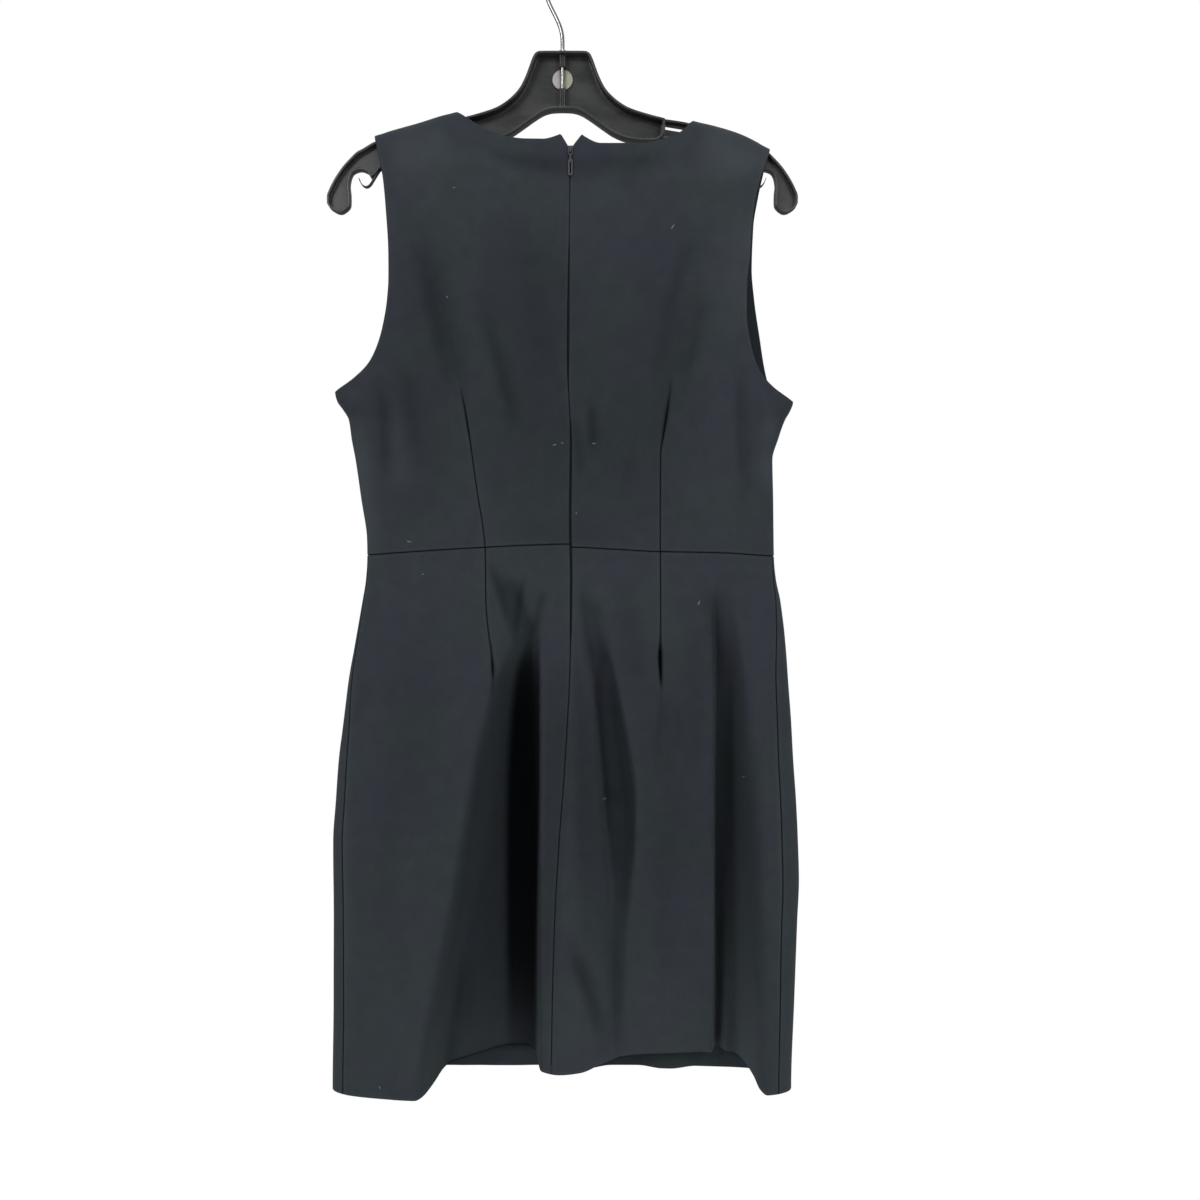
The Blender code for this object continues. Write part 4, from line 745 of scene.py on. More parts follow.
def closed_wall(rows, columns):
    """Faces of a wall whose outer points come first, then its inner points, with a band round it."""
    number = np.arange(rows * columns).reshape(rows, columns)
    face = quads(number[:-1, :-1], number[1:, :-1], number[1:, 1:], number[:-1, 1:])
    rim = np.array([*number[0, :-1], *number[:-1, -1], *number[-1, :0:-1], *number[:0:-1, 0]])
    ahead = np.roll(rim, -1)
    band = quads(rim, ahead, ahead + number.size, rim + number.size)
    return np.concatenate([face, face[:, ::-1] + number.size, band])


def panel_piece(name, panel, edges, node, creases, tones=(), shades=()):
    """A closed wall of cloth from a panel. edges gives, for each side, the radius of its roll on
    the outer face, the same on the inner face, and how far the shade in its seam reaches."""
    panel.pull_edges()
    normals = panel.normals()
    x, _, height = np.moveaxis(panel.points, -1, 0)
    nothing = np.zeros(x.shape)
    drop, rise, rub_and_light, lit, pocket = nothing, nothing, nothing, nothing + 1.0, nothing
    for away, (outer, inner, reach) in zip(
            (panel.from_left, panel.from_right, panel.from_top, panel.from_bottom), edges):
        drop = np.maximum(drop, rounded_edge(away, outer))
        rise = np.maximum(rise, rounded_edge(away, inner))
        rub_and_light = np.maximum(rub_and_light, bell(away - RUB_PLACE, RUB_WIDTH))
        lit = lit * (1.0 - SEAM_SHADE * bell(away, np.maximum(reach, SHARP)))
    for line, away in panel.lines:
        groove = line.at("groove", height)
        slot = line.at("pocket", height) * bell(away, line.at("pocket_width", height))
        drop = np.maximum(drop, rounded_edge(away, np.maximum(groove, SHARP)))
        rub_and_light = np.maximum(rub_and_light, bell(away - RUB_PLACE, RUB_WIDTH) * ease(groove))
        lit = lit * (1.0 - SEAM_SHADE * ease(groove) * bell(away, DART_REACH)) * (1.0 - ease(slot / 3.0))
        pocket = pocket + slot
    for fold in shades:
        lit = lit * (1.0 - trough(fold, x, height))
    hollow, tone = [sum(crease_depth(line, x, height) for line in lines) + nothing
                    for lines in (creases, tones)]
    lit = lit * (1.0 - np.clip(CREASE_SHADE * hollow, 0.0, 0.45)) * (1.0 - np.clip(tone, 0.0, 0.6))
    # Minus tones are painted light: they lighten the knit in the same way as its worn seam edges.
    rub_and_light = rub_and_light + PAINTED_LIGHT_GAIN * np.clip(-tone, 0.0, 0.5)
    outer = panel.points - (drop + pocket)[:, :, None] * normals
    inner = panel.points - (CLOTH + pocket - rise)[:, :, None] * normals
    points = np.concatenate([outer.reshape(-1, 3), inner.reshape(-1, 3)]) * MM
    cloth_map = np.tile(panel.cloth_map.reshape(-1, 2) * MM, (2, 1))
    # Stored for the knit: lighter knit for worn seam edges and painted light, and painted shade.
    values = {key: np.concatenate([value.reshape(-1), nothing.reshape(-1)])
              for key, value in (("rub_and_light", rub_and_light), ("shade", 1.0 - lit))}
    piece = mesh_piece(name, points, closed_wall(*x.shape), looks_of("knit"), cloth_map, values)
    return put_on(piece, DRESS, "black_knit", node)


# --- pieces --------------------------------------------------------------------------

def in_scene(name, data):
    made = bpy.data.objects.new(name, data)
    bpy.context.scene.collection.objects.link(made)
    return made


def removed(piece):
    mesh = piece.data
    bpy.data.objects.remove(piece)
    bpy.data.meshes.remove(mesh)


def smoothed(mesh, sharp=50.0):
    """Smooth shading, with hard edges where faces meet at more than this angle."""
    mesh.shade_smooth()
    mesh.set_sharp_from_angle(angle=math.radians(sharp))
    return mesh


def final_mesh(piece):
    """The mesh that an object's modifiers make."""
    depsgraph = bpy.context.evaluated_depsgraph_get()
    return bpy.data.meshes.new_from_object(piece.evaluated_get(depsgraph))


def mesh_piece(name, points, faces, material, cloth_map=None, values=None, sharp=50.0):
    """An object at the origin with its place in its mesh."""
    mesh = bpy.data.meshes.new(name)
    mesh.from_pydata(np.asarray(points).tolist(), [], [tuple(int(n) for n in face) for face in faces])
    mesh.validate()
    mesh.materials.append(material)
    if cloth_map is not None:
        layer = mesh.uv_layers.new(name="cloth")
        corners = np.empty(len(mesh.loops), np.int32)
        mesh.loops.foreach_get("vertex_index", corners)
        layer.data.foreach_set("uv", np.asarray(cloth_map, np.float32)[corners].reshape(-1))
    for key, value in (values or {}).items():
        layer = mesh.attributes.new(key, "FLOAT", "POINT")
        layer.data.foreach_set("value", np.asarray(value, np.float32))
    return in_scene(name, smoothed(mesh, sharp))


def put_on(piece, body, slot, *nodes):
    """The piece rides on a body and stands for nodes, which it hides; its slot is not used."""
    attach(piece, body)
    if nodes:
        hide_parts(*nodes)
    return piece


def from_bmesh(name, shape, material, sharp=50.0):
    mesh = bpy.data.meshes.new(name)
    shape.to_mesh(mesh)
    shape.free()
    mesh.materials.append(material)
    return in_scene(name, smoothed(mesh, sharp))


def eased_copy(name, node):
    """A die-cast node's solid with its sharp edges rounded."""
    shape = bmesh.new()
    shape.from_mesh(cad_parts[node].data)
    bmesh.ops.remove_doubles(shape, verts=shape.verts, dist=SHARP)
    bmesh.ops.dissolve_limit(shape, angle_limit=math.radians(2.0), verts=shape.verts, edges=shape.edges)
    sharp = [e for e in shape.edges if e.is_manifold and e.calc_face_angle() > math.radians(40.0)]
    bmesh.ops.bevel(shape, geom=sharp, offset=CAST_ROUNDING * MM, segments=2, profile=0.6,
                    affect="EDGES", clamp_overlap=True)
    return from_bmesh(name, shape, looks_of("lacquer"))


def swept(name, rings, material, closed_ends=True, sharp=50.0):
    """A skin over rings of points."""
    count, sides, _ = rings.shape
    here = np.arange(count * sides).reshape(count, sides)
    ahead = np.roll(here, -1, axis=1)
    faces = quads(here[:-1], ahead[:-1], ahead[1:], here[1:]).tolist()
    if closed_ends:
        faces += [tuple(here[0, ::-1]), tuple(here[-1])]
    return mesh_piece(name, rings.reshape(-1, 3) * MM, faces, material, sharp=sharp)


def turned_rings(profile, sides, axis):
    """Rings round the Y or Z axis, from a profile of radii and places along the axis."""
    turn = np.linspace(0.0, TURN, sides + 1)[:-1]
    rings = [(radius * np.cos(turn), radius * np.sin(turn), np.full(sides, place))
             for radius, place in profile]
    order = (0, 2, 1) if axis == "y" else (0, 1, 2)
    return np.stack([np.column_stack([ring[k] for k in order]) for ring in rings])


def joined_piece(name, pieces):
    """Several meshes as one piece."""
    shape = bmesh.new()
    for piece in pieces:
        shape.from_mesh(piece.data)
    material = pieces[0].data.materials[0]
    for piece in pieces:
        removed(piece)
    return from_bmesh(name, shape, material)


def tube_rings(route, radii, sides):
    """Rings round a route, without twist. radii has one value for each of its points."""
    route = np.asarray(route, float)
    lean = unit(np.gradient(route, axis=0))
    turn = np.linspace(0.0, TURN, sides, endpoint=False)
    first = unit(np.cross(lean, (0.0, 1.0, 0.0)))
    second = np.cross(lean, first)
    ring = np.cos(turn)[None, :, None] * first[:, None] + np.sin(turn)[None, :, None] * second[:, None]
    return route[:, None] + np.asarray(radii)[:, None, None] * ring


def smooth_line(points, step):
    """A curve through points with an even step, in millimetres."""
    points = np.asarray(points, float)
    ends = np.concatenate([[2 * points[0] - points[1]], points, [2 * points[-1] - points[-2]]])
    t = np.linspace(0.0, 1.0, 24, endpoint=False)[:, None]
    parts = []
    for a, b, c, d in zip(ends, ends[1:], ends[2:], ends[3:]):
        parts.append(0.5 * (2 * b + (c - a) * t + (2 * a - 5 * b + 4 * c - d) * t ** 2
                            + (3 * b - a - 3 * c + d) * t ** 3))
    line = np.concatenate(parts + [points[-1:]])
    length = lengths_along(line)
    where = np.linspace(0.0, length[-1], max(2, round(length[-1] / step) + 1))
    return np.column_stack([np.interp(where, length, line[:, k]) for k in range(line.shape[1])])


# --- nodes ---------------------------------------------------------------------------

class Value:
    """An output socket. Its operators add Math nodes to its tree, and an index picks another output."""

    def __init__(self, nodes, socket):
        self.nodes = nodes
        self.socket = socket

    def __getitem__(self, output):
        return Value(self.nodes, self.socket.node.outputs[output])

    def __add__(self, other):
        return self.nodes.maths("ADD", self, other)

    def __sub__(self, other):
        return self.nodes.maths("SUBTRACT", self, other)

    def __mul__(self, other):
        return self.nodes.maths("MULTIPLY", self, other)

    def __truediv__(self, other):
        return self.nodes.maths("DIVIDE", self, other)

    __radd__ = __add__
    __rmul__ = __mul__


class Nodes:
    """A node tree in the making."""

    def __init__(self, tree):
        self.tree = tree

    def add(self, kind, inputs=(), output=0, **settings):
        """Any node: its settings first, then the values or links of its sockets."""
        made = self.tree.nodes.new(kind)
        for key, value in settings.items():
            setattr(made, key, value)
        for socket, value in dict(inputs).items():
            self.put(made.inputs[socket], value)
        return Value(self, made.outputs[output]) if len(made.outputs) else None

    def put(self, socket, value):
        if isinstance(value, Value):
            self.tree.links.new(value.socket, socket)
        else:
            socket.default_value = (*value, 1.0) if isinstance(value, Color) else value

    def maths(self, operation, first, second=0.0):
        return self.add("ShaderNodeMath", {0: first, 1: second}, operation=operation)


class Shader(Nodes):
    """A material in the making. Its patterns lie in the object's own coordinates."""

    def __init__(self, name):
        self.material = bpy.data.materials.new(name)
        self.material.use_nodes = True
        super().__init__(self.material.node_tree)
        self.surface = self.tree.nodes["Principled BSDF"]
        self.place = self.add("ShaderNodeTexCoord", output="Object")

    def sine(self, angle):
        return self.maths("SINE", angle)

    def noise(self, scale, detail, roughness, between=None, stretch=None):
        """Noise, drawn out by a scale for each axis, as a soft step between two of its values."""
        where = self.place
        if stretch:
            where = self.add("ShaderNodeMapping", {"Vector": where, "Scale": stretch})
        made = self.add("ShaderNodeTexNoise", {"Vector": where, "Scale": scale, "Detail": detail,
                                               "Roughness": roughness})
        return self.soft_step(made, *between) if between else made

    def soft_step(self, value, low, high, to_low=0.0, to_high=1.0):
        return self.add("ShaderNodeMapRange", {0: value, 1: low, 2: high, 3: to_low, 4: to_high},
                        interpolation_type="SMOOTHSTEP")

    def mix(self, factor, first, second):
        return self.add("ShaderNodeMix", {0: factor, 6: first, 7: second}, output=2, data_type="RGBA")

    def bump(self, height, distance):
        return self.add("ShaderNodeBump", {"Height": height, "Distance": distance, "Strength": 1.0})

    def stored(self, name):
        return self.add("ShaderNodeAttribute", output="Fac", attribute_name=name)

    def finish(self, **sockets):
        for name, value in sockets.items():
            self.put(self.surface.inputs[name.replace("_", " ")], value)
        return self.material

    def sink(self, factor, deep):
        """Where the factor is high, a dark matt surface takes the place of the first one."""
        below = self.add("ShaderNodeBsdfPrincipled", {"Base Color": deep, "Roughness": 0.95,
                                                      "Specular IOR Level": 0.05})
        surface = Value(self, self.surface.outputs[0])
        mixed = self.add("ShaderNodeMixShader", {0: factor, 1: surface, 2: below})
        self.put(self.tree.nodes["Material Output"].inputs["Surface"], mixed)


# --- repeats -------------------------------------------------------------------------

def repeat_tree():
    """Geometry Nodes: small rods or blocks set at a pitch along a curve."""
    tree = bpy.data.node_groups.new("repeat_along_line", "GeometryNodeTree")
    sockets = (("Geometry", "Geometry"), ("Pitch", "Float"), ("Width", "Float"), ("Depth", "Float"),
               ("Length", "Float"), ("Round", "Bool"), ("Material", "Material"))
    for name, kind in sockets:
        tree.interface.new_socket(name, in_out="INPUT", socket_type="NodeSocket" + kind)
    tree.interface.new_socket("Geometry", in_out="OUTPUT", socket_type="NodeSocketGeometry")
    nodes = Nodes(tree)
    given = nodes.add("NodeGroupInput")
    points = nodes.add("GeometryNodeCurveToPoints", {
        "Curve": given["Geometry"], "Length": given["Pitch"]}, mode="LENGTH")
    rod = nodes.add("GeometryNodeMeshCylinder", {"Vertices": 6, "Radius": 0.5, "Depth": 1.0}, "Mesh")
    block = nodes.add("GeometryNodeMeshCube", {"Size": (1.0, 1.0, 1.0)}, "Mesh")
    shape = nodes.add("GeometryNodeSwitch", {"Switch": given["Round"], "False": block, "True": rod},
                      "Output", input_type="GEOMETRY")
    size = nodes.add("ShaderNodeCombineXYZ", {
        "X": given["Width"], "Y": given["Depth"], "Z": given["Length"]})
    upright = nodes.add("FunctionNodeEulerToRotation", {"Euler": (0.0, 0.0, 0.0)})
    way = nodes.add("GeometryNodeSwitch", {"Switch": given["Round"], "False": upright,
                                           "True": points["Rotation"]}, "Output", input_type="ROTATION")
    copies = nodes.add("GeometryNodeInstanceOnPoints", {"Points": points["Points"], "Instance": shape,
                                                        "Rotation": way, "Scale": size})
    real = nodes.add("GeometryNodeRealizeInstances", {"Geometry": copies})
    coated = nodes.add("GeometryNodeSetMaterial", {"Geometry": real, "Material": given["Material"]})
    nodes.add("NodeGroupOutput", {"Geometry": coated})
    return tree


def repeated(name, lines, pitch, size, round_rods):
    """One plain mesh of rods or blocks of thread along lines of points, all in millimetres."""
    material = looks_of("thread")
    curve = bpy.data.curves.new(name, "CURVE")
    curve.dimensions = "3D"
    for line in lines:
        spline = curve.splines.new("POLY")
        spline.points.add(len(line) - 1)
        spline.points.foreach_set("co", np.column_stack([line * MM, np.ones(len(line))]).reshape(-1))
    carrier = in_scene(name + "_line", curve)
    tree = bpy.data.node_groups.get("repeat_along_line") or repeat_tree()
    modifier = carrier.modifiers.new("repeat", "NODES")
    modifier.node_group = tree
    values = {"Pitch": pitch * MM, "Width": size[0] * MM, "Depth": size[1] * MM, "Length": size[2] * MM,
              "Round": round_rods, "Material": material}
    for socket in tree.interface.items_tree:
        if socket.in_out == "INPUT" and socket.name in values:
            modifier[socket.identifier] = values[socket.name]
    mesh = final_mesh(carrier)
    mesh.name = name
    if not mesh.materials:
        mesh.materials.append(material)
    bpy.data.objects.remove(carrier)
    bpy.data.curves.remove(curve)
    return in_scene(name, smoothed(mesh, 65.0))


# --- materials -----------------------------------------------------------------------

def knit(shader, looks):
    """Double knit: fine wales and courses, a soft nap, small flecks, worn seam edges, painted light and
    painted shade.
    """
    cloth = shader.add("ShaderNodeSeparateXYZ", {0: shader.add("ShaderNodeUVMap", uv_map="cloth")})
    wale = cloth["X"] / looks.wale
    course = cloth["Y"] / looks.course
    lean = shader.maths("ABSOLUTE", shader.maths("FRACT", wale) - 0.5)
    stitch = shader.sine(wale * TURN) * 0.5 + shader.sine((course + lean * 1.4) * TURN) * 0.35
    wander = shader.noise(900.0, 4.0, 0.7)
    nap = shader.noise(3200.0, 2.0, 0.6)
    broad = shader.noise(14.0, 3.0, 0.5, (0.35, 0.65))
    patch = shader.noise(60.0, 3.0, 0.55, (0.3, 0.75))
    fleck = shader.noise(1500.0, 1.0, 0.4, (0.66, 0.8))
    base = shader.mix(broad, looks.cloth_blue, looks.cloth_green)
    base = shader.mix(patch * 0.5, base, looks.cloth_light)
    base = shader.mix(fleck * 0.35, base, looks.fleck)
    # Lighter knit: worn nap beside seams, and painted light where the minus tones lie.
    base = shader.mix(shader.stored("rub_and_light") * (0.05 + 0.2 * wander), base, looks.rubbed_and_lit)
    # Painted shade: the knit gives way to a dark matt surface in seams, darts, creases and deep folds.
    shader.sink(shader.stored("shade"), looks.deep)
    height = stitch * 0.55 + wander * 0.9 + nap * 0.4
    return shader.finish(Base_Color=base, Roughness=shader.soft_step(wander, 0.2, 0.8, 0.82, 0.95),
                         Normal=shader.bump(height, looks.relief), Specular_IOR_Level=0.12,
                         Sheen_Weight=looks.sheen, Sheen_Roughness=0.6, Sheen_Tint=looks.sheen_tint)


def tape(shader, looks):
    """Woven zip tape: fine cross ribs and a finer warp."""
    parts = shader.add("ShaderNodeSeparateXYZ", {0: shader.place})
    ribs = shader.sine(parts["Z"] * (TURN / 0.0009))
    warp = shader.sine(parts["X"] * (TURN / 0.0006))
    grain = shader.noise(1400.0, 3.0, 0.6)
    return shader.finish(Base_Color=shader.mix(grain, looks.tape_dark, looks.tape_light),
                         Roughness=shader.soft_step(grain, 0.2, 0.8, 0.65, 0.85),
                         Normal=shader.bump(ribs * 0.5 + warp * 0.25 + grain * 0.6, 0.00012),
                         Specular_IOR_Level=0.25)


def thread(shader, looks):
    """Spun sewing thread with a twist along it."""
    twist = shader.noise(5200.0, 2.0, 0.5, stretch=(1.0, 1.0, 0.4))
    return shader.finish(Base_Color=shader.mix(twist, looks.thread_dark, looks.thread_light),
                         Roughness=shader.soft_step(twist, 0.3, 0.7, 0.5, 0.75),
                         Normal=shader.bump(twist, 0.0001), Specular_IOR_Level=0.3)


def lacquer(shader, looks):
    """Black lacquer on die-cast metal, worn to grey in small chips."""
    grain = shader.noise(700.0, 4.0, 0.6)
    chip = shader.noise(2100.0, 2.0, 0.5, (0.66, 0.74))
    base = shader.mix(grain, looks.lacquer, looks.lacquer_light)
    base = shader.mix(chip * 0.6, base, looks.chipped)
    rough = shader.soft_step(grain, 0.3, 0.7, 0.4, 0.55) + chip * 0.1
    return shader.finish(Base_Color=base, Roughness=rough,
                         Normal=shader.bump(grain * 0.6 - chip, 0.00008), Metallic=0.1,
                         Coat_Weight=0.05, Coat_Roughness=0.3, Specular_IOR_Level=0.35)


def plastic(shader, looks):
    """Glossy moulded plastic: faint flow marks, fine scuffs and a little dust."""
    flow = shader.noise(26.0, 4.0, 0.55, stretch=(1.0, 1.0, 2.2))
    peel = shader.noise(420.0, 3.0, 0.5)
    scuff = shader.noise(120.0, 5.0, 0.7, (0.56, 0.72), (1.0, 1.0, 9.0))
    dust = shader.noise(1900.0, 2.0, 0.5, (0.68, 0.8))
    base = shader.mix(shader.soft_step(flow, 0.3, 0.7), looks.plastic, looks.plastic_light)
    base = shader.mix(scuff * 0.35, base, looks.scuffed)
    base = shader.mix(dust * 0.3, base, looks.dust)
    rough = shader.soft_step(flow, 0.3, 0.7, 0.3, 0.4) + scuff * 0.2 + dust * 0.2
    return shader.finish(Base_Color=base, Roughness=rough,
                         Normal=shader.bump(peel * 0.3 + flow * 0.8 - scuff * 0.1, 0.00012),
                         Specular_IOR_Level=0.32, Coat_Weight=0.04, Coat_Roughness=0.2)


def chrome(shader, looks):
    """Plated wire: drawn lines along it, small pits and a faint tarnish."""
    drawn = shader.noise(260.0, 4.0, 0.6, stretch=(9.0, 9.0, 0.6))
    tarnish = shader.noise(90.0, 4.0, 0.6, (0.45, 0.7))
    pits = shader.noise(2400.0, 2.0, 0.5, (0.68, 0.76))
    base = shader.mix(tarnish * 0.5, looks.chrome, looks.tarnish)
    base = shader.mix(pits * 0.5, base, looks.tarnish_dark)
    return shader.finish(Base_Color=base, Metallic=1.0,
                         Roughness=shader.soft_step(drawn, 0.3, 0.7, 0.16, 0.3) + tarnish * 0.1,
                         Normal=shader.bump(drawn * 0.6 - pits, 0.00005))


def plate(shader, looks):
    """The round plate: satin metal with turned rings, lighter to the left and warmer to the right in a
    painted reflection.
    """
    parts = shader.add("ShaderNodeSeparateXYZ", {0: shader.place})
    x, z = parts["X"], parts["Z"] - PLATE_CENTRE * MM
    rings = shader.sine(shader.maths("SQRT", x * x + z * z) * (TURN / 0.0005))
    grain = shader.noise(500.0, 4.0, 0.6)
    # Painted reflection: the plate's grey turns from the lighter left tone to the warmer right tone
    # across its middle.
    base = shader.mix(shader.soft_step(x, -0.004, 0.005), looks.plate_and_reflection_left, looks.plate_and_reflection_right)
    base = shader.mix(grain * 0.25, base, looks.plate_dark)
    return shader.finish(Base_Color=base, Metallic=0.15,
                         Roughness=shader.soft_step(grain, 0.3, 0.7, 0.42, 0.6),
                         Normal=shader.bump(rings * 0.3 + grain * 0.5, 0.00005))


def lint(shader, looks):
    """Pale loose fibre."""
    tone = shader.noise(1200.0, 2.0, 0.5)
    return shader.finish(Base_Color=shader.mix(tone, looks.lint_dark, looks.lint_light),
                         Roughness=shader.soft_step(tone, 0.2, 0.8, 0.7, 0.95))


def floor(shader, looks):
    """Pale matt floor with a barely visible grain."""
    grain = shader.noise(5.0, 4.0, 0.5)
    return shader.finish(Base_Color=shader.mix(grain, (0.93, 0.93, 0.93, 1.0), (0.97, 0.97, 0.97, 1.0)),
                         Roughness=shader.soft_step(grain, 0.2, 0.8, 0.8, 0.95),
                         Emission_Color=(1.0, 1.0, 1.0, 1.0), Emission_Strength=looks.floor_glow)


MAKERS = {maker.__name__: maker
          for maker in (knit, tape, thread, lacquer, plastic, chrome, plate, lint, floor)}


def looks_of(kind):
    """The material of a kind, made at its first use."""
    name = kind + "_looks"
    made = bpy.data.materials.get(name)
    return made or MAKERS[kind](Shader(name), bpy.context.scene.dress_looks)


# --- settings ------------------------------------------------------------------------

def length_setting(name, description, millimetres):
    return FloatProperty(name=name, description=description, default=millimetres * MM, unit="LENGTH",
                         precision=5, min=0.0)


def colour_setting(name, description, value):
    return FloatVectorProperty(name=name, description=description, default=value, subtype="COLOR",
                               size=3, min=0.0, max=1.0)


def number_setting(name, description, value, **limits):
    return FloatProperty(name=name, description=description, default=value, **limits)


class DressSizes(bpy.types.PropertyGroup):
    back_step: length_setting("Back step", "Distance between the back panels' mesh columns", 2.8)
    front_step: length_setting("Front step", "Distance between the front panels' mesh columns", 4.2)
    seam_roll: length_setting("Seam roll", "How round the cloth turns in beside a seam", 1.2)
    edge_roll: length_setting("Edge roll", "How round a finished edge is", 0.79)
    stitch_pitch: length_setting("Stitch pitch", "Length of one stitch in a seam", 2.6)
    thread: length_setting("Thread", "Thickness of the sewing thread", 0.35)
    tooth_pitch: length_setting("Tooth pitch", "Distance between two turns of the zip's coil", 1.5)
    tape_wall: length_setting("Tape thickness", "Thickness of the zip's woven tape", 0.8)
    rim: length_setting("Hanger rim", "Thickness of the moulded rims", 2.4)
    rim_round: length_setting("Rim rounding", "Radius of the moulded edges", 0.5)
    wire: length_setting("Wire", "Diameter of the hook's wire", 3.9)
    wire_sides: IntProperty(name="Wire sides", description="Faces round the hook's wire", default=24,
                            min=8)


class DressLooks(bpy.types.PropertyGroup):
    wale: length_setting("Wale", "Width of one column of knit loops", 1.25)
    course: length_setting("Course", "Height of one row of knit loops", 1.0)
    relief: length_setting("Relief", "Depth of the knit's surface", 0.16)
    sheen: number_setting("Sheen", "Strength of the nap's soft sheen", 0.08, min=0, max=1)
    sheen_tint: colour_setting("Sheen tint", "Colour of the nap's sheen", (0.62, 0.75, 0.82))
    cloth_blue: colour_setting("Cloth, bluish", "Bluish tone of the knit", (0.0190, 0.0210, 0.0285))
    cloth_green: colour_setting("Cloth, greenish", "Greenish tone of the knit", (0.0170, 0.0235, 0.0245))
    cloth_light: colour_setting("Cloth, light", "Light patches of the knit", (0.0240, 0.0290, 0.0330))
    fleck: colour_setting("Fleck", "Lighter fibres in the knit", (0.060, 0.068, 0.074))
    # Lighter knit colour, both for worn seam edges and for the painted light of the minus tones.
    rubbed_and_lit: colour_setting("Rubbed edge", "Knit beside a seam", (0.036, 0.043, 0.048))
    deep: colour_setting("Deep shade", "Knit at the bottom of seams and of the deepest folds",
                         (0.0006, 0.0010, 0.0017))
    tape_dark: colour_setting("Tape, dark", "Shaded threads of the zip's tape", (0.0008, 0.0008, 0.0008))
    tape_light: colour_setting("Tape, light", "Raised threads of the zip's tape", (0.002, 0.002, 0.002))
    thread_dark: colour_setting("Thread, dark", "Shaded side of the thread", (0.0012, 0.0012, 0.0014))
    thread_light: colour_setting("Thread, light", "Raised side of the thread", (0.003, 0.003, 0.0034))
    lacquer: colour_setting("Lacquer", "Slider and pull", (0.014, 0.015, 0.020))
    lacquer_light: colour_setting("Lacquer, light", "Lighter lacquer", (0.030, 0.032, 0.038))
    chipped: colour_setting("Chips", "Bare metal in worn lacquer", (0.20, 0.20, 0.20))
    plastic: colour_setting("Plastic", "Moulded hanger", (0.0150, 0.0155, 0.0165))
    plastic_light: colour_setting("Plastic, light", "Flow marks in the hanger", (0.0250, 0.0255, 0.0260))
    scuffed: colour_setting("Scuffs", "Scuffed plastic", (0.060, 0.060, 0.058))
    dust: colour_setting("Dust", "Dust on the hanger", (0.20, 0.19, 0.17))
    chrome: colour_setting("Chrome", "Plated wire", (0.30, 0.30, 0.29))
    tarnish: colour_setting("Tarnish", "Dull places of the wire", (0.20, 0.197, 0.18))
    tarnish_dark: colour_setting("Pits", "Pits in the plating", (0.12, 0.11, 0.10))
    # The plate's grey with a painted reflection, lighter on its left half and warmer on its right half.
    plate_and_reflection_left: colour_setting("Plate, left", "Left of the round plate", (0.29, 0.272, 0.265))
    plate_and_reflection_right: colour_setting("Plate, right", "Right of the round plate", (0.225, 0.222, 0.172))
    plate_dark: colour_setting("Plate, dark", "Grain of the round plate", (0.20, 0.19, 0.17))
    lint_dark: colour_setting("Lint, dark", "Shaded fibres of lint", (0.12, 0.12, 0.11))
    lint_light: colour_setting("Lint, light", "Bright fibres of lint", (0.34, 0.33, 0.31))
    floor_glow: number_setting("Floor glow", "Keeps the floor pale", 0.35, min=0, max=2)


class StudioSettings(bpy.types.PropertyGroup):
    distance: number_setting("Distance", "From the camera to the hook's plane", 1.35, unit="LENGTH")
    centre_x: number_setting("Centre", "Camera's X", 0.0365, unit="LENGTH")
    centre_z: number_setting("Height", "Camera's height", -0.6195, unit="LENGTH")
    lens: number_setting("Lens", "Focal length in millimetres", 41.6, min=10)
    surround: number_setting("Surround", "Light from below and all round", 0.2, min=0)
    overhead: number_setting("Overhead", "Extra light from above", 0.4, min=0)
    key: number_setting("Key light", "Power of the light at the left", 40.0, min=0, unit="POWER")
    fill: number_setting("Fill light", "Power of the light at the right", 33.0, min=0, unit="POWER")
    top: number_setting("Top light", "Power of the light above", 20.0, min=0, unit="POWER")


# --- operators -----------------------------------------------------------------------

class Build(bpy.types.Operator):
    """A step of the build."""

    bl_options = {"REGISTER", "UNDO"}

    def execute(self, context):
        self.build(context.scene.dress_sizes)
        return {"FINISHED"}


def split_edge(is_seam, seam, edge):
    """Radii and shade along a side that is partly a seam and partly a finished edge."""
    pairs = (seam, edge), (SHARP, edge), (SEAM_REACH, SHARP)
    return tuple(np.where(is_seam, *pair) for pair in pairs)


def lip_edge(panel):
    """Radii and shade along the side at the zip."""
    height = panel.points[:, :, 2]
    return ZIP_LIPS.at("roll", height), SHARP, ZIP_LIPS.at("shade", height)


def away_from(panel, line):
    """Distance of each point of a panel from a line of its points."""
    away = np.full(panel.points.shape[:2], FAR)
    for point in line:
        away = np.minimum(away, np.linalg.norm(panel.points - point, axis=2))
    return away


def lay_facing(panel, neckline, armholes):
    """A faint step where the facings behind the neckline and the armholes end."""
    sunk = 0.22 * bell(away_from(panel, neckline) - FACING, 5.0)
    for armhole in armholes:
        sunk += 0.2 * bell(away_from(panel, armhole) - FACING, 4.0)
    panel.points -= sunk[:, :, None] * panel.normals()


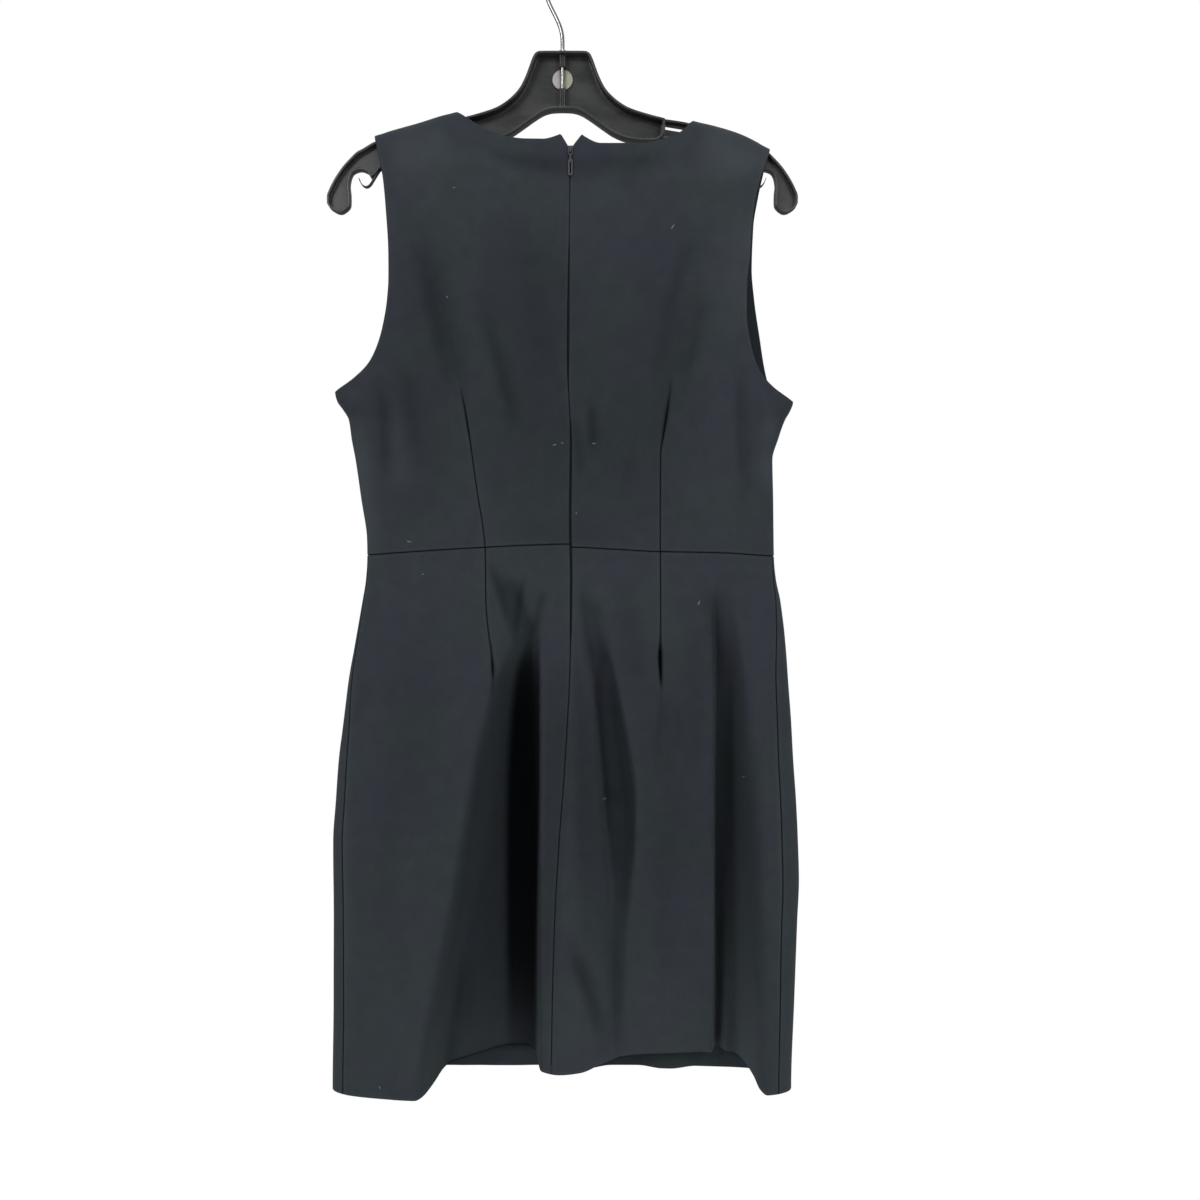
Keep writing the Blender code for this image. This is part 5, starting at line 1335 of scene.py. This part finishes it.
class DRESS_OT_bodice(Build):
    """Cut and shape the two halves of the back bodice and the front bodice"""

    bl_idname = "dress.bodice"
    bl_label = "Bodice"

    def build(self, sizes):
        seam, edge = sizes.seam_roll / MM, sizes.edge_roll / MM
        for half in HALVES.values():
            self.back(half, seam, edge, sizes.back_step / MM)
        self.front(seam, edge, sizes.front_step / MM)

    def rows_at(self, spacing):
        """Rows down the cloth, with some more of them round the shoulder."""
        fraction = crowded_fractions(BODICE_FALL, spacing, (UNDERARM_AT,))
        return np.unique(np.concatenate([fraction, np.linspace(0.009, 0.06, 18)]))

    def back(self, half, seam, edge, step):
        fraction = self.rows_at(step)
        rows = bodice_rows(*bodice_back_edges(half), fraction, "back", (half.outline, None), 900)
        if half.inward < 0:
            rows = rows[:, ::-1]
        panel = Panel(rows, [half.dart], step)
        panel.part_lips(half)
        low = fraction >= UNDERARM_AT
        on_shoulder = np.abs(panel.points[0, :, 0] - WAIST_CENTRE) > abs(half.neck[0][0] - WAIST_CENTRE)
        outer = 0 if half.inward > 0 else -1
        lay_facing(panel, panel.points[0, ~on_shoulder], [panel.points[~low, outer]])
        outside = split_edge(low[:, None], seam, edge)
        neckline = split_edge(on_shoulder[None, :], seam, edge)
        edges = *from_left(half, outside, lip_edge(panel)), neckline, (seam, SHARP, SEAM_REACH)
        piece = panel_piece(f"back_bodice_{half.name}", panel, edges, f"bodice_back_{half.name}",
                            BACK_CREASES, BACK_PAINTED_TONES)

    def front(self, seam, edge, step):
        fraction = self.rows_at(step)
        rows = bodice_rows(*bodice_front_edges(), fraction, "front", (RIGHT_SIDE, LEFT_SIDE), 1500)
        panel = Panel(rows, [FRONT_LINE_RIGHT, FRONT_LINE_LEFT], step)
        low = fraction >= UNDERARM_AT
        top_x = panel.points[0, :, 0]
        on_shoulder = (top_x > FRONT_NECK[-1][0]) | (top_x < FRONT_NECK[0][0])
        lay_facing(panel, panel.points[0, ~on_shoulder], [panel.points[~low, 0], panel.points[~low, -1]])
        outside = split_edge(low[:, None], seam, edge)
        edges = outside, outside, split_edge(on_shoulder[None, :], seam, edge), (seam, SHARP, SEAM_REACH)
        piece = panel_piece("front_bodice", panel, edges, "bodice_front", FRONT_CREASES)


class DRESS_OT_skirt(Build):
    """Cut and shape the two halves of the back skirt and the front skirt"""

    bl_idname = "dress.skirt"
    bl_label = "Skirt"

    def build(self, sizes):
        seam, edge = sizes.seam_roll / MM, sizes.edge_roll / MM
        back_step, front_step = sizes.back_step / MM, sizes.front_step / MM
        plain = (seam, SHARP, SEAM_REACH)
        for half in HALVES.values():
            rows = skirt_back_rows(crowded_fractions(SKIRT_FALL, back_step), half)
            panel = Panel(rows, [half.dart], back_step)
            panel.part_lips(half)
            hem = (edge, edge, HEM_SHADE.at("reach", panel.points[:, :, 0]))
            edges = *from_left(half, plain, lip_edge(panel)), plain, hem
            piece = panel_piece(f"back_skirt_{half.name}", panel, edges, f"skirt_back_{half.name}",
                                BACK_CREASES, BACK_PAINTED_TONES, DEEP_SHADE)
        rows = skirt_front_rows(crowded_fractions(SKIRT_FALL, front_step))
        panel = Panel(rows, [FRONT_LINE_RIGHT, FRONT_LINE_LEFT], front_step)
        edges = plain, plain, plain, (edge, edge, SHARP)
        piece = panel_piece("front_skirt", panel, edges, "skirt_front", FRONT_CREASES)


def on_cloth(x, height, wall, sink):
    """Points at one depth under the cloth's outer face."""
    depth = cloth_depth(x, height, wall) + (sink if wall == "back" else -sink)
    return np.column_stack([x, depth, height])


def zip_line(behind, offset=0.0):
    """Points down the zip, some way behind the cloth's outer face."""
    height = np.arange(COIL_TOP, COIL_LOW, -STITCH_STEP)
    line = on_cloth(CENTRE_BACK.at("x", height), height, "back", behind)
    return line + np.array([offset, 0.0, 0.0])


class DRESS_OT_zip(Build):
    """Lay the zip behind its lips: woven tape, coil, slider and pull tab"""

    bl_idname = "dress.zip"
    bl_label = "Zip"

    def build(self, sizes):
        tape = put_on(swept("zip_tape_woven", self.tape_rings(sizes.tape_wall / MM), looks_of("tape")),
                      DRESS, "zip_tape", "zip_tape")
        middle = zip_line(CLOTH + TAPE_SINK)
        coil = repeated("zip_coil", [middle], sizes.tooth_pitch / MM, (3.4, 0.9, 0.8), False)
        put_on(coil, DRESS, "zip_metal")
        lines = [zip_line(CLOTH + TAPE_SINK + 0.1, offset) for offset in (-6.0, 6.0)]
        sewing = sewn("zip_stitches", lines, sizes)
        put_on(sewing, DRESS, "zip_tape")
        put_on(eased_copy("zip_slider_body", "zip_slider"), DRESS, "zip_metal", "zip_slider")
        put_on(eased_copy("zip_pull_tab", "zip_pull"), PULL_TAB, "zip_metal", "zip_pull")

    def tape_rings(self, wall):
        """Rings round the tape, which lies behind the cloth and is hollowed under the coil."""
        heights = np.linspace(TAPE_TOP, TAPE_LOW, 170)
        across = np.linspace(-TAPE_HALF, TAPE_HALF, 27)
        x = CENTRE_BACK.at("x", heights)[:, None] + across[None, :]
        points = cloth_points(x, np.broadcast_to(heights[:, None], x.shape), "back")
        normals = unit(np.cross(np.gradient(points, axis=0), np.gradient(points, axis=1)))
        hollow = 0.35 * bell(across, 1.2)[None, :, None]
        outer = points - (CLOTH + TAPE_SINK + hollow) * normals
        inner = outer - wall * normals
        return np.concatenate([outer, inner[:, ::-1]], axis=1)[:, ::-1]


def sewn(name, lines, sizes):
    """Stitches of thread along lines."""
    return repeated(name, lines, sizes.stitch_pitch / MM,
                    (sizes.thread / MM, sizes.thread / MM, STITCH_LENGTH), True)


def along_waist(waist, start, end, wall, sink):
    x = np.arange(start, end, STITCH_STEP)
    return on_cloth(x, waist.at("height", x), wall, sink)


def down_back(find_x, top, low, sink):
    height = np.arange(top, low, -STITCH_STEP)
    return on_cloth(find_x(height), height, "back", sink)


class DRESS_OT_stitches(Build):
    """Sew the seams: a run of thread in the waist, centre, side, shoulder and dart seams"""

    bl_idname = "dress.stitches"
    bl_label = "Stitches"

    def build(self, sizes):
        sink = sizes.seam_roll / MM + 0.15
        left, right = HALVES["left"], HALVES["right"]
        lines = [along_waist(*run, sink) for run in (
            (left.waist, -184.0, 6.0, "back"), (right.waist, 10.0, 200.0, "back"),
            (WAIST_FRONT, -180.0, 196.0, "front"))]
        lines.append(down_back(lambda height: CENTRE_BACK.at("x", height), -664.0, -1060.0, sink))
        for half, bodice_top, skirt_low in ((left, -462.0, -678.0), (right, -480.0, -668.0)):
            for top, low in ((bodice_top, -566.0), (-578.0, skirt_low)):
                lines.append(down_back(lambda height: half.dart.at("x", height), top, low, sink))
        for half, top in ((left, -640.0), (right, -620.0)):
            lines.append(down_back(lambda height: seam_x(half, height), top, -1080.0, sink))
        for start, end in ((-178.0, -106.0), (131.0, 197.0)):
            x = np.arange(start, end, STITCH_STEP)
            lines.append(np.column_stack([x, np.zeros_like(x), SHOULDER.at("height", x) - sink]))
        put_on(sewn("seam_stitches", lines, sizes), DRESS, "black_knit")


# Lint: x, height, length and lean of each small fibre, in millimetres and radians.
LINT = (
    (106.5, -261.5, 5.6, 1.0), (-104, -223, 3.0, 0.4), (-110, -329, 2.6, 2.2),
    (-6.8, -472, 3.4, 0.2), (0.6, -470, 2.4, 2.6), (30.8, -470.4, 3.8, 2.9),
    (-145.8, -563.6, 4.6, 2.9), (-132, -595, 2.4, 0.5), (14, -537, 2.2, 1.4),
    (130.5, -622.3, 4.8, 1.1), (174, -789, 2.2, 0.8), (41, -810, 3.2, 0.2), (-169, -1075, 3.0, 1.7))


class DRESS_OT_lint(Build):
    """Scatter the few pale fibres that cling to the knit"""

    bl_idname = "dress.lint"
    bl_label = "Lint"

    def build(self, sizes):
        fibres = []
        t = np.linspace(-0.5, 0.5, 9)
        radii = 0.24 * np.sqrt(np.clip(1.0 - (2.05 * t) ** 2 * 0.9, 0.1, 1.0))
        for x, height, length, lean in LINT:
            bow = 0.25 * length * (0.25 - t ** 2)
            along = np.array([math.cos(lean), math.sin(lean)])
            aside = np.array([-along[1], along[0]])
            flat = np.array([x, height]) + t[:, None] * length * along + bow[:, None] * aside
            route = on_cloth(flat[:, 0], flat[:, 1], "back", -0.25)
            fibres.append(swept("fibre", tube_rings(route, radii, 6), looks_of("lint")))
        put_on(joined_piece("lint_fibres", fibres), DRESS, "black_knit")


BODY_SECTIONS = Table(
    "place top_x top_z low_x low_z",
    (0, 0, -87.4, 0, -143.3), (1, 12, -87.4, 8, -143.6), (2, 22.1, -87.6, 15, -145),
    (3, 26.7, -90, 19.5, -146.9), (4, 29, -94.2, 23, -149), (5, 35.8, -112.3, 29, -153),
    (6, 41.6, -123.5, 38.9, -160.1), (7, 51.1, -133.7, 50, -167.4), (8, 63.7, -142, 63, -172.5),
    (9, 77.8, -147, 77, -174.8), (10, 89.1, -150.2, 88.5, -174.6), (11, 95.5, -151.8, 95.6, -171),
    (12, 99.4, -152.8, 99.2, -164))
ARM_SECTIONS = Table(
    "place top_x top_z low_x low_z",
    (0, 99.9, -152.9, 99.9, -172), (1, 120, -156, 117.7, -175), (2, 141, -162.5, 137.1, -181),
    (3, 162.4, -168.6, 155.6, -188.5), (4, 183.5, -175.4, 173.1, -197.4),
    (5, 189.6, -178.9, 185.4, -209), (6, 194, -181.6, 188.9, -204.6), (7, 199.1, -184.3, 196, -202),
    (8, 206.2, -191.1, 202.9, -204.4), (9, 214, -199.9, 205.9, -210.4),
    (10, 222, -212.1, 206.8, -217.1), (11, 226.1, -220.3, 206.1, -223.7),
    (12, 228.6, -227.6, 205.9, -230.5), (13, 228.5, -233.4, 206.2, -235.7),
    (14, 225.6, -238.8, 209, -240), (15, 220.6, -242.2, 213.3, -243.1))
ARM_START = ((97.6, -152.7), (94.4, -171.4), (97.4, -163.8))     # inside the sleeve's end and beside it
ARM_TIP = ((219.2, -243.0), (217.2, -243.5), (215.2, -243.6))
BODY_DEPTHS = (-7.5, 7.5, 5.1, 7.1)
ARM_DEPTHS = (-5.0, 5.0, 1.6, 4.0)
SLOT_PLACE = (115.3, -161.9)
SLOT_LENGTH = 37.0
SLOT_HEIGHT = 3.2
SLOT_LEAN = -0.165
PLATE_CENTRE = -111.8
FLOOR_HEIGHT = -1900.0
PLATE_SEAT = 10.35
HOOK_BEND = 19.45
HOOK_FOOT = PLATE_CENTRE - 15.0
SPUR = ((173.5, -194.0), (179.4, -203.3), (185.2, -213.0), (187.6, -216.2), (190.6, -217.8),
        (193.8, -216.6), (196.4, -213.2), (197.9, -209.2))


def edge_lines(sections, steps=6):
    """The top edge and the lower edge of a moulding, as (x, z), from its middle outwards."""
    place = np.linspace(0.0, sections.rows[-1, 0], int(sections.rows[-1, 0]) * steps + 1)
    return [np.stack([sections.at(f"{name}_x", place), sections.at(f"{name}_z", place)], axis=1)
            for name in ("top", "low")]


def rounded_corners(corners, radius):
    """Each inner corner of a line becomes three points on a small arc."""
    corners = np.asarray(corners, float)
    points = [corners[0]]
    for before, corner, after in zip(corners, corners[1:], corners[2:]):
        back, ahead = before - corner, after - corner
        lengths = np.linalg.norm(back), np.linalg.norm(ahead)
        reach = min(radius, 0.45 * min(lengths))
        back, ahead = back / lengths[0] * reach, ahead / lengths[1] * reach
        points += [corner + back, corner + 0.293 * (back + ahead), corner + ahead]
    return np.array([*points, corners[-1]])


def drawn_together(points, outline, inset):
    """Where an inset line folds back on itself at a corner, its points move to the nearest clear one."""
    if inset <= 0.0:
        return points
    ahead = np.roll(outline, -1, axis=0) - outline
    off = points[:, None] - outline[None]
    t = np.clip(np.sum(off * ahead, axis=2) / np.sum(ahead * ahead, axis=1), 0.0, 1.0)
    away = np.linalg.norm(off - t[:, :, None] * ahead, axis=2).min(axis=1)
    clear = np.flatnonzero(away > 0.97 * inset)
    apart = np.abs(np.arange(len(points))[:, None] - clear[None])
    apart = np.minimum(apart, len(points) - apart)
    return points[clear[np.argmin(apart, axis=1)]]


def web_faces(start, upper, end, lower, finish):
    """Faces of a moulding's web as numbers of its outline's points: strips between the upper and the
    lower edge, which have the same number of points, and one face at each end if it has more points."""
    count = len(start) + len(upper) + len(end) + len(lower) + len(finish)
    above = len(start) + np.arange(len(upper))
    below = len(start) + len(upper) + len(end) + len(lower) - 1 - np.arange(len(lower))
    faces = [list(corners) for corners in zip(above, above[1:], below[1:], below)]
    if len(end):
        faces.append(list(range(above[-1], below[-1] + 1)))
    if len(start) or len(finish):
        faces.append([*range(below[0], count), *range(above[0] + 1)])
    return faces


def moulded(name, lines, depths, rim, rounding):
    """A moulding inside a closed outline, clockwise as seen from the back of the dress, given as
    its five lines (see web_faces). It has a rim all round and a web inside it, and depths are the
    rim's front and back and the web's front and back."""
    front, back, web_front, web_back = depths
    inner = rim + 1.0
    corners = [(inner, web_front), (rim, web_front), (rim, front), (0.0, front), (0.0, back), (rim, back),
               (rim, web_back), (inner, web_back)]
    section = rounded_corners(corners, rounding)
    line = np.concatenate([np.reshape(part, (-1, 2)) for part in lines])
    lean = unit(np.roll(line, -1, axis=0) - line)
    inward = np.stack([lean[:, 1], -lean[:, 0]], axis=1)
    before = np.roll(inward, 1, axis=0)
    reach = (inward + before) / (1.0 + np.sum(inward * before, axis=1, keepdims=True))
    flat = line[:, None] + section[None, :, :1] * reach[:, None]
    for ring, inset in enumerate(section[:, 0]):
        flat[:, ring] = drawn_together(flat[:, ring], line, inset)
    depth = np.broadcast_to(section[None, :, 1], flat.shape[:2])
    points = np.stack([flat[:, :, 0], depth, flat[:, :, 1]], axis=-1)
    count, sides = depth.shape
    here = np.arange(count * sides).reshape(count, sides)
    ahead = np.roll(here, -1, axis=0)
    faces = quads(here[:, :-1], ahead[:, :-1], ahead[:, 1:], here[:, 1:]).tolist()
    for face in web_faces(*lines):
        faces += [here[face[::-1], 0], here[face, -1]]
    shape = bmesh.new()
    corners = [shape.verts.new(point * MM) for point in points.reshape(-1, 3)]
    for face in faces:
        shape.faces.new([corners[int(n)] for n in face])
    bmesh.ops.remove_doubles(shape, verts=shape.verts, dist=SHARP)
    return from_bmesh(name, shape, looks_of("plastic"), sharp=40.0)


def cut_with(piece, tool):
    """Cut a tool shape out of a piece for good."""
    change = piece.modifiers.new("cut", "BOOLEAN")
    change.object = tool
    change.operation = "DIFFERENCE"
    change.solver = "EXACT"
    change.use_self = True
    mesh = final_mesh(piece)
    piece.modifiers.clear()
    old, piece.data = piece.data, smoothed(mesh)
    bpy.data.meshes.remove(old)
    removed(tool)


class DRESS_OT_hanger(Build):
    """Mould the hanger: channelled body, ribs, round plate and the two arms with their notches"""

    bl_idname = "dress.hanger"
    bl_label = "Hanger"

    def build(self, sizes):
        rim, rounding = sizes.rim / MM, sizes.rim_round / MM
        top, low = edge_lines(BODY_SECTIONS)
        upper, lower = [np.concatenate([edge[:0:-1] * (-1.0, 1.0), edge]) for edge in (top, low)]
        body = moulded("body_shell", ([], upper, [], lower[::-1], []), BODY_DEPTHS, rim, rounding)
        ribs = [self.rib(-88.6, PLATE_CENTRE + PLATE_SEAT), self.rib(PLATE_CENTRE - PLATE_SEAT, -142.2)]
        put_on(joined_piece("hanger_moulding", [body, *ribs]), DRESS, "black_plastic", "hanger_body")
        for side in HALVES:
            put_on(self.arm(side, rim, rounding), DRESS, "black_plastic", f"hanger_arm_{side}")
        put_on(self.plate(), DRESS, "hanger_metal", "hanger_plate")

    def rib(self, top, low):
        """The upright rib round the wire, with a bead along each side of its face."""
        bead = [(3.2, 5.4), (3.2, -2.6), (2.9, -3.3), (2.45, -3.8), (1.9, -3.95), (1.45, -3.75),
                (1.1, -3.2), (0.9, -2.5)]
        section = np.array([(-x, y) for x, y in bead] + bead[::-1])
        rings = [np.column_stack([section, np.full(len(section), z)]) for z in np.linspace(top, low, 8)]
        return swept("rib", np.stack(rings), looks_of("plastic"))

    def arm(self, side, rim, rounding):
        """The right arm, with its slot and spur, or its mirror image."""
        top, low = edge_lines(ARM_SECTIONS)
        arm = moulded("arm_shell", (ARM_START[:1], top, ARM_TIP, low[::-1], ARM_START[1:]), ARM_DEPTHS,
                      rim, rounding)
        turn = np.linspace(0.0, -TURN, 33)[:-1]
        half, radius = SLOT_LENGTH / 2.0, SLOT_HEIGHT / 2.0
        slot = np.column_stack([np.where(np.cos(turn) > 0, half, -half) + radius * np.cos(turn),
                                radius * np.sin(turn)])
        lean_x, lean_z = math.cos(SLOT_LEAN), math.sin(SLOT_LEAN)
        slot = slot @ np.array([[lean_x, lean_z], [-lean_z, lean_x]]) + SLOT_PLACE
        cutter = [np.column_stack([slot[:, 0], np.full(len(turn), y), slot[:, 1]]) for y in (-8.0, 8.0)]
        cut_with(arm, swept("slot_cutter", np.stack(cutter), looks_of("plastic")))
        arm = joined_piece(f"hanger_arm_{side}_moulding", [arm, self.spur()])
        if side == "left":
            arm.data.transform(Matrix.Scale(-1.0, 4, (1, 0, 0)))
            arm.data.flip_normals()
        return arm

    def spur(self):
        """The thin curled spur that keeps a strap in the notch."""
        line = smooth_line(SPUR, 0.8)
        lean = unit(np.gradient(line, axis=0))
        aside = np.column_stack([-lean[:, 1], lean[:, 0]])
        thick = np.interp(np.linspace(0.0, 1.0, len(line)), (0.0, 0.3, 0.7, 1.0), (2.6, 1.5, 1.1, 0.6))
        corners = [(0, 3.2), (0.5, 3.2), (0.5, -3.2), (-0.5, -3.2), (-0.5, 3.2), (0, 3.2)]
        section = rounded_corners(corners, 0.25)[:-1]
        across, depth = section.T
        rings = [np.column_stack([x + a[0] * t * across, depth, z + a[1] * t * across])
                 for (x, z), a, t in zip(line, aside, thick)]
        return swept("spur", np.stack(rings), looks_of("plastic"))

    def plate(self):
        """A turned disc: a flat face with a rounded rim."""
        profile = ((0.6, 4.65), (9.6, 4.65), (9.95, 4.45), (10.0, 4.1), (10.0, 3.5), (9.8, 3.15),
                   (9.3, 3.05), (8.9, 3.12), (4.0, 3.06), (0.6, 3.05))
        rings = turned_rings(profile, 64, "y") + (0.0, 0.0, PLATE_CENTRE)
        return swept("round_plate", rings[:, ::-1], looks_of("plate"), sharp=35.0)


class DRESS_OT_hook(Build):
    """Bend the wire hook and set its small collar"""

    bl_idname = "dress.hook"
    bl_label = "Hook"

    def build(self, sizes):
        radius = sizes.wire / MM / 2.0
        centre = np.array([0.0, radius - HOOK_BEND])
        shank = [(0.0, HOOK_FOOT), (0.0, -92.0), (0.0, -76.0), (-0.6, -68.5), (-2.6, -61.0),
                 (-6.0, -53.0), (-10.0, -45.0), (-13.6, -37.0)]
        turns = np.linspace(np.radians(214.0), np.radians(-28.0), 26)
        crown = [tuple(centre + HOOK_BEND * np.array([np.cos(turn), np.sin(turn)])) for turn in turns]
        line = smooth_line(shank + crown, 1.2)
        route = np.column_stack([line[:, 0], np.zeros(len(line)), line[:, 1]])
        lean = unit(route[-1] - route[-2])
        dome = np.radians((25.0, 45.0, 62.0, 76.0, 86.0))
        tip = route[-1] + lean * radius * np.sin(dome)[:, None] * 0.9
        radii = np.concatenate([np.full(len(route), radius), radius * np.cos(dome)])
        rings = tube_rings(np.concatenate([route, tip]), radii, sizes.wire_sides)
        put_on(swept("wire_hook", rings, looks_of("chrome")), DRESS, "hanger_metal", "hook_wire")
        put_on(self.collar(), DRESS, "hanger_metal", "hook_collar")

    def collar(self):
        profile = ((2.35, -87.1), (4.1, -87.1), (4.3, -86.9), (4.3, -85.8), (4.05, -85.4), (3.5, -85.3),
                   (2.6, -85.3), (2.35, -85.5), (2.35, -87.1))
        rings = turned_rings(profile, 48, "z")
        return swept("wire_collar", rings, looks_of("chrome"), closed_ends=False, sharp=35.0)


class DRESS_OT_studio(Build):
    """Set the camera, the soft lights, the pale surround and the floor"""

    bl_idname = "dress.studio"
    bl_label = "Studio"

    def build(self, sizes):
        scene = bpy.context.scene
        studio = scene.dress_studio
        scene.view_settings.view_transform = "Standard"
        scene.view_settings.look = "None"
        lens = bpy.data.cameras.new("photo_camera")
        lens.lens = studio.lens
        lens.sensor_width = 36.0
        camera = in_scene("photo_camera", lens)
        camera.location = (studio.centre_x, -studio.distance, studio.centre_z)
        camera.rotation_euler = (math.radians(90.0), 0.0, 0.0)
        scene.camera = camera
        scene.world = self.surround(studio)
        self.lamp("key_light", (-1.35, -2.3, 0.45), (0.0, 0.0, -0.6), 1.2, studio.key)
        self.lamp("fill_light", (1.3, -2.3, 0.0), (0.0, 0.0, -0.6), 1.4, studio.fill)
        self.lamp("top_light", (0.1, -0.7, 1.5), (0.0, 0.0, -0.3), 1.0, studio.top)
        profile = [(radius, FLOOR_HEIGHT) for radius in (10.0, 500.0, 1000.0, 1500.0)]
        rings = turned_rings(profile, 64, "z")
        swept("studio_floor", rings, looks_of("floor"), closed_ends=False)

    def surround(self, studio):
        """White to the eye, and brighter from above for the light it gives."""
        world = bpy.data.worlds.new("pale_surround")
        world.use_nodes = True
        world.node_tree.nodes.clear()
        nodes = Nodes(world.node_tree)
        place = nodes.add("ShaderNodeTexCoord", output="Generated")
        parts = nodes.add("ShaderNodeSeparateXYZ", {0: place})
        strength = nodes.add("ShaderNodeMapRange", {0: parts["Z"], 1: -0.2, 3: studio.surround,
                                                    4: studio.surround + studio.overhead})
        glow = nodes.add("ShaderNodeBackground", {"Color": (0.97, 0.99, 1.0, 1.0), "Strength": strength})
        seen = nodes.add("ShaderNodeBackground", {"Color": (1.0, 1.0, 1.0, 1.0)})
        path = nodes.add("ShaderNodeLightPath", output="Is Camera Ray")
        pick = nodes.add("ShaderNodeMixShader", {0: path, 1: glow, 2: seen})
        nodes.add("ShaderNodeOutputWorld", {0: pick})
        return world

    def lamp(self, name, place, towards, size, power):
        light = bpy.data.lights.new(name, "AREA")
        light.shape = "DISK"
        light.size = size
        light.energy = power
        lamp = in_scene(name, light)
        lamp.location = place
        lamp.rotation_euler = (Vector(towards) - Vector(place)).to_track_quat("-Z", "Y").to_euler()


STEPS = (DRESS_OT_studio, DRESS_OT_bodice, DRESS_OT_skirt, DRESS_OT_zip, DRESS_OT_stitches,
         DRESS_OT_lint, DRESS_OT_hanger, DRESS_OT_hook)


class DRESS_PT_build(bpy.types.Panel):
    """Steps and settings of the dress"""

    bl_idname = "DRESS_PT_build"
    bl_label = "Sheath Dress"
    bl_space_type = "VIEW_3D"
    bl_region_type = "UI"
    bl_category = "Dress"

    def draw(self, context):
        for step in STEPS:
            self.layout.operator(step.bl_idname)
        for group in (context.scene.dress_sizes, context.scene.dress_looks, context.scene.dress_studio):
            box = self.layout.box()
            for name in group.__annotations__:
                box.prop(group, name)


CLASSES = (DressSizes, DressLooks, StudioSettings, *STEPS, DRESS_PT_build)


def register():
    for item in CLASSES:
        bpy.utils.register_class(item)
    bpy.types.Scene.dress_sizes = PointerProperty(type=DressSizes)
    bpy.types.Scene.dress_looks = PointerProperty(type=DressLooks)
    bpy.types.Scene.dress_studio = PointerProperty(type=StudioSettings)


def unregister():
    del bpy.types.Scene.dress_studio
    del bpy.types.Scene.dress_looks
    del bpy.types.Scene.dress_sizes
    for item in reversed(CLASSES):
        bpy.utils.unregister_class(item)


def main():
    register()
    for step in STEPS:
        name = step.bl_idname.split(".")[1]
        getattr(bpy.ops.dress, name)()


if __name__ == "__main__":
    main()
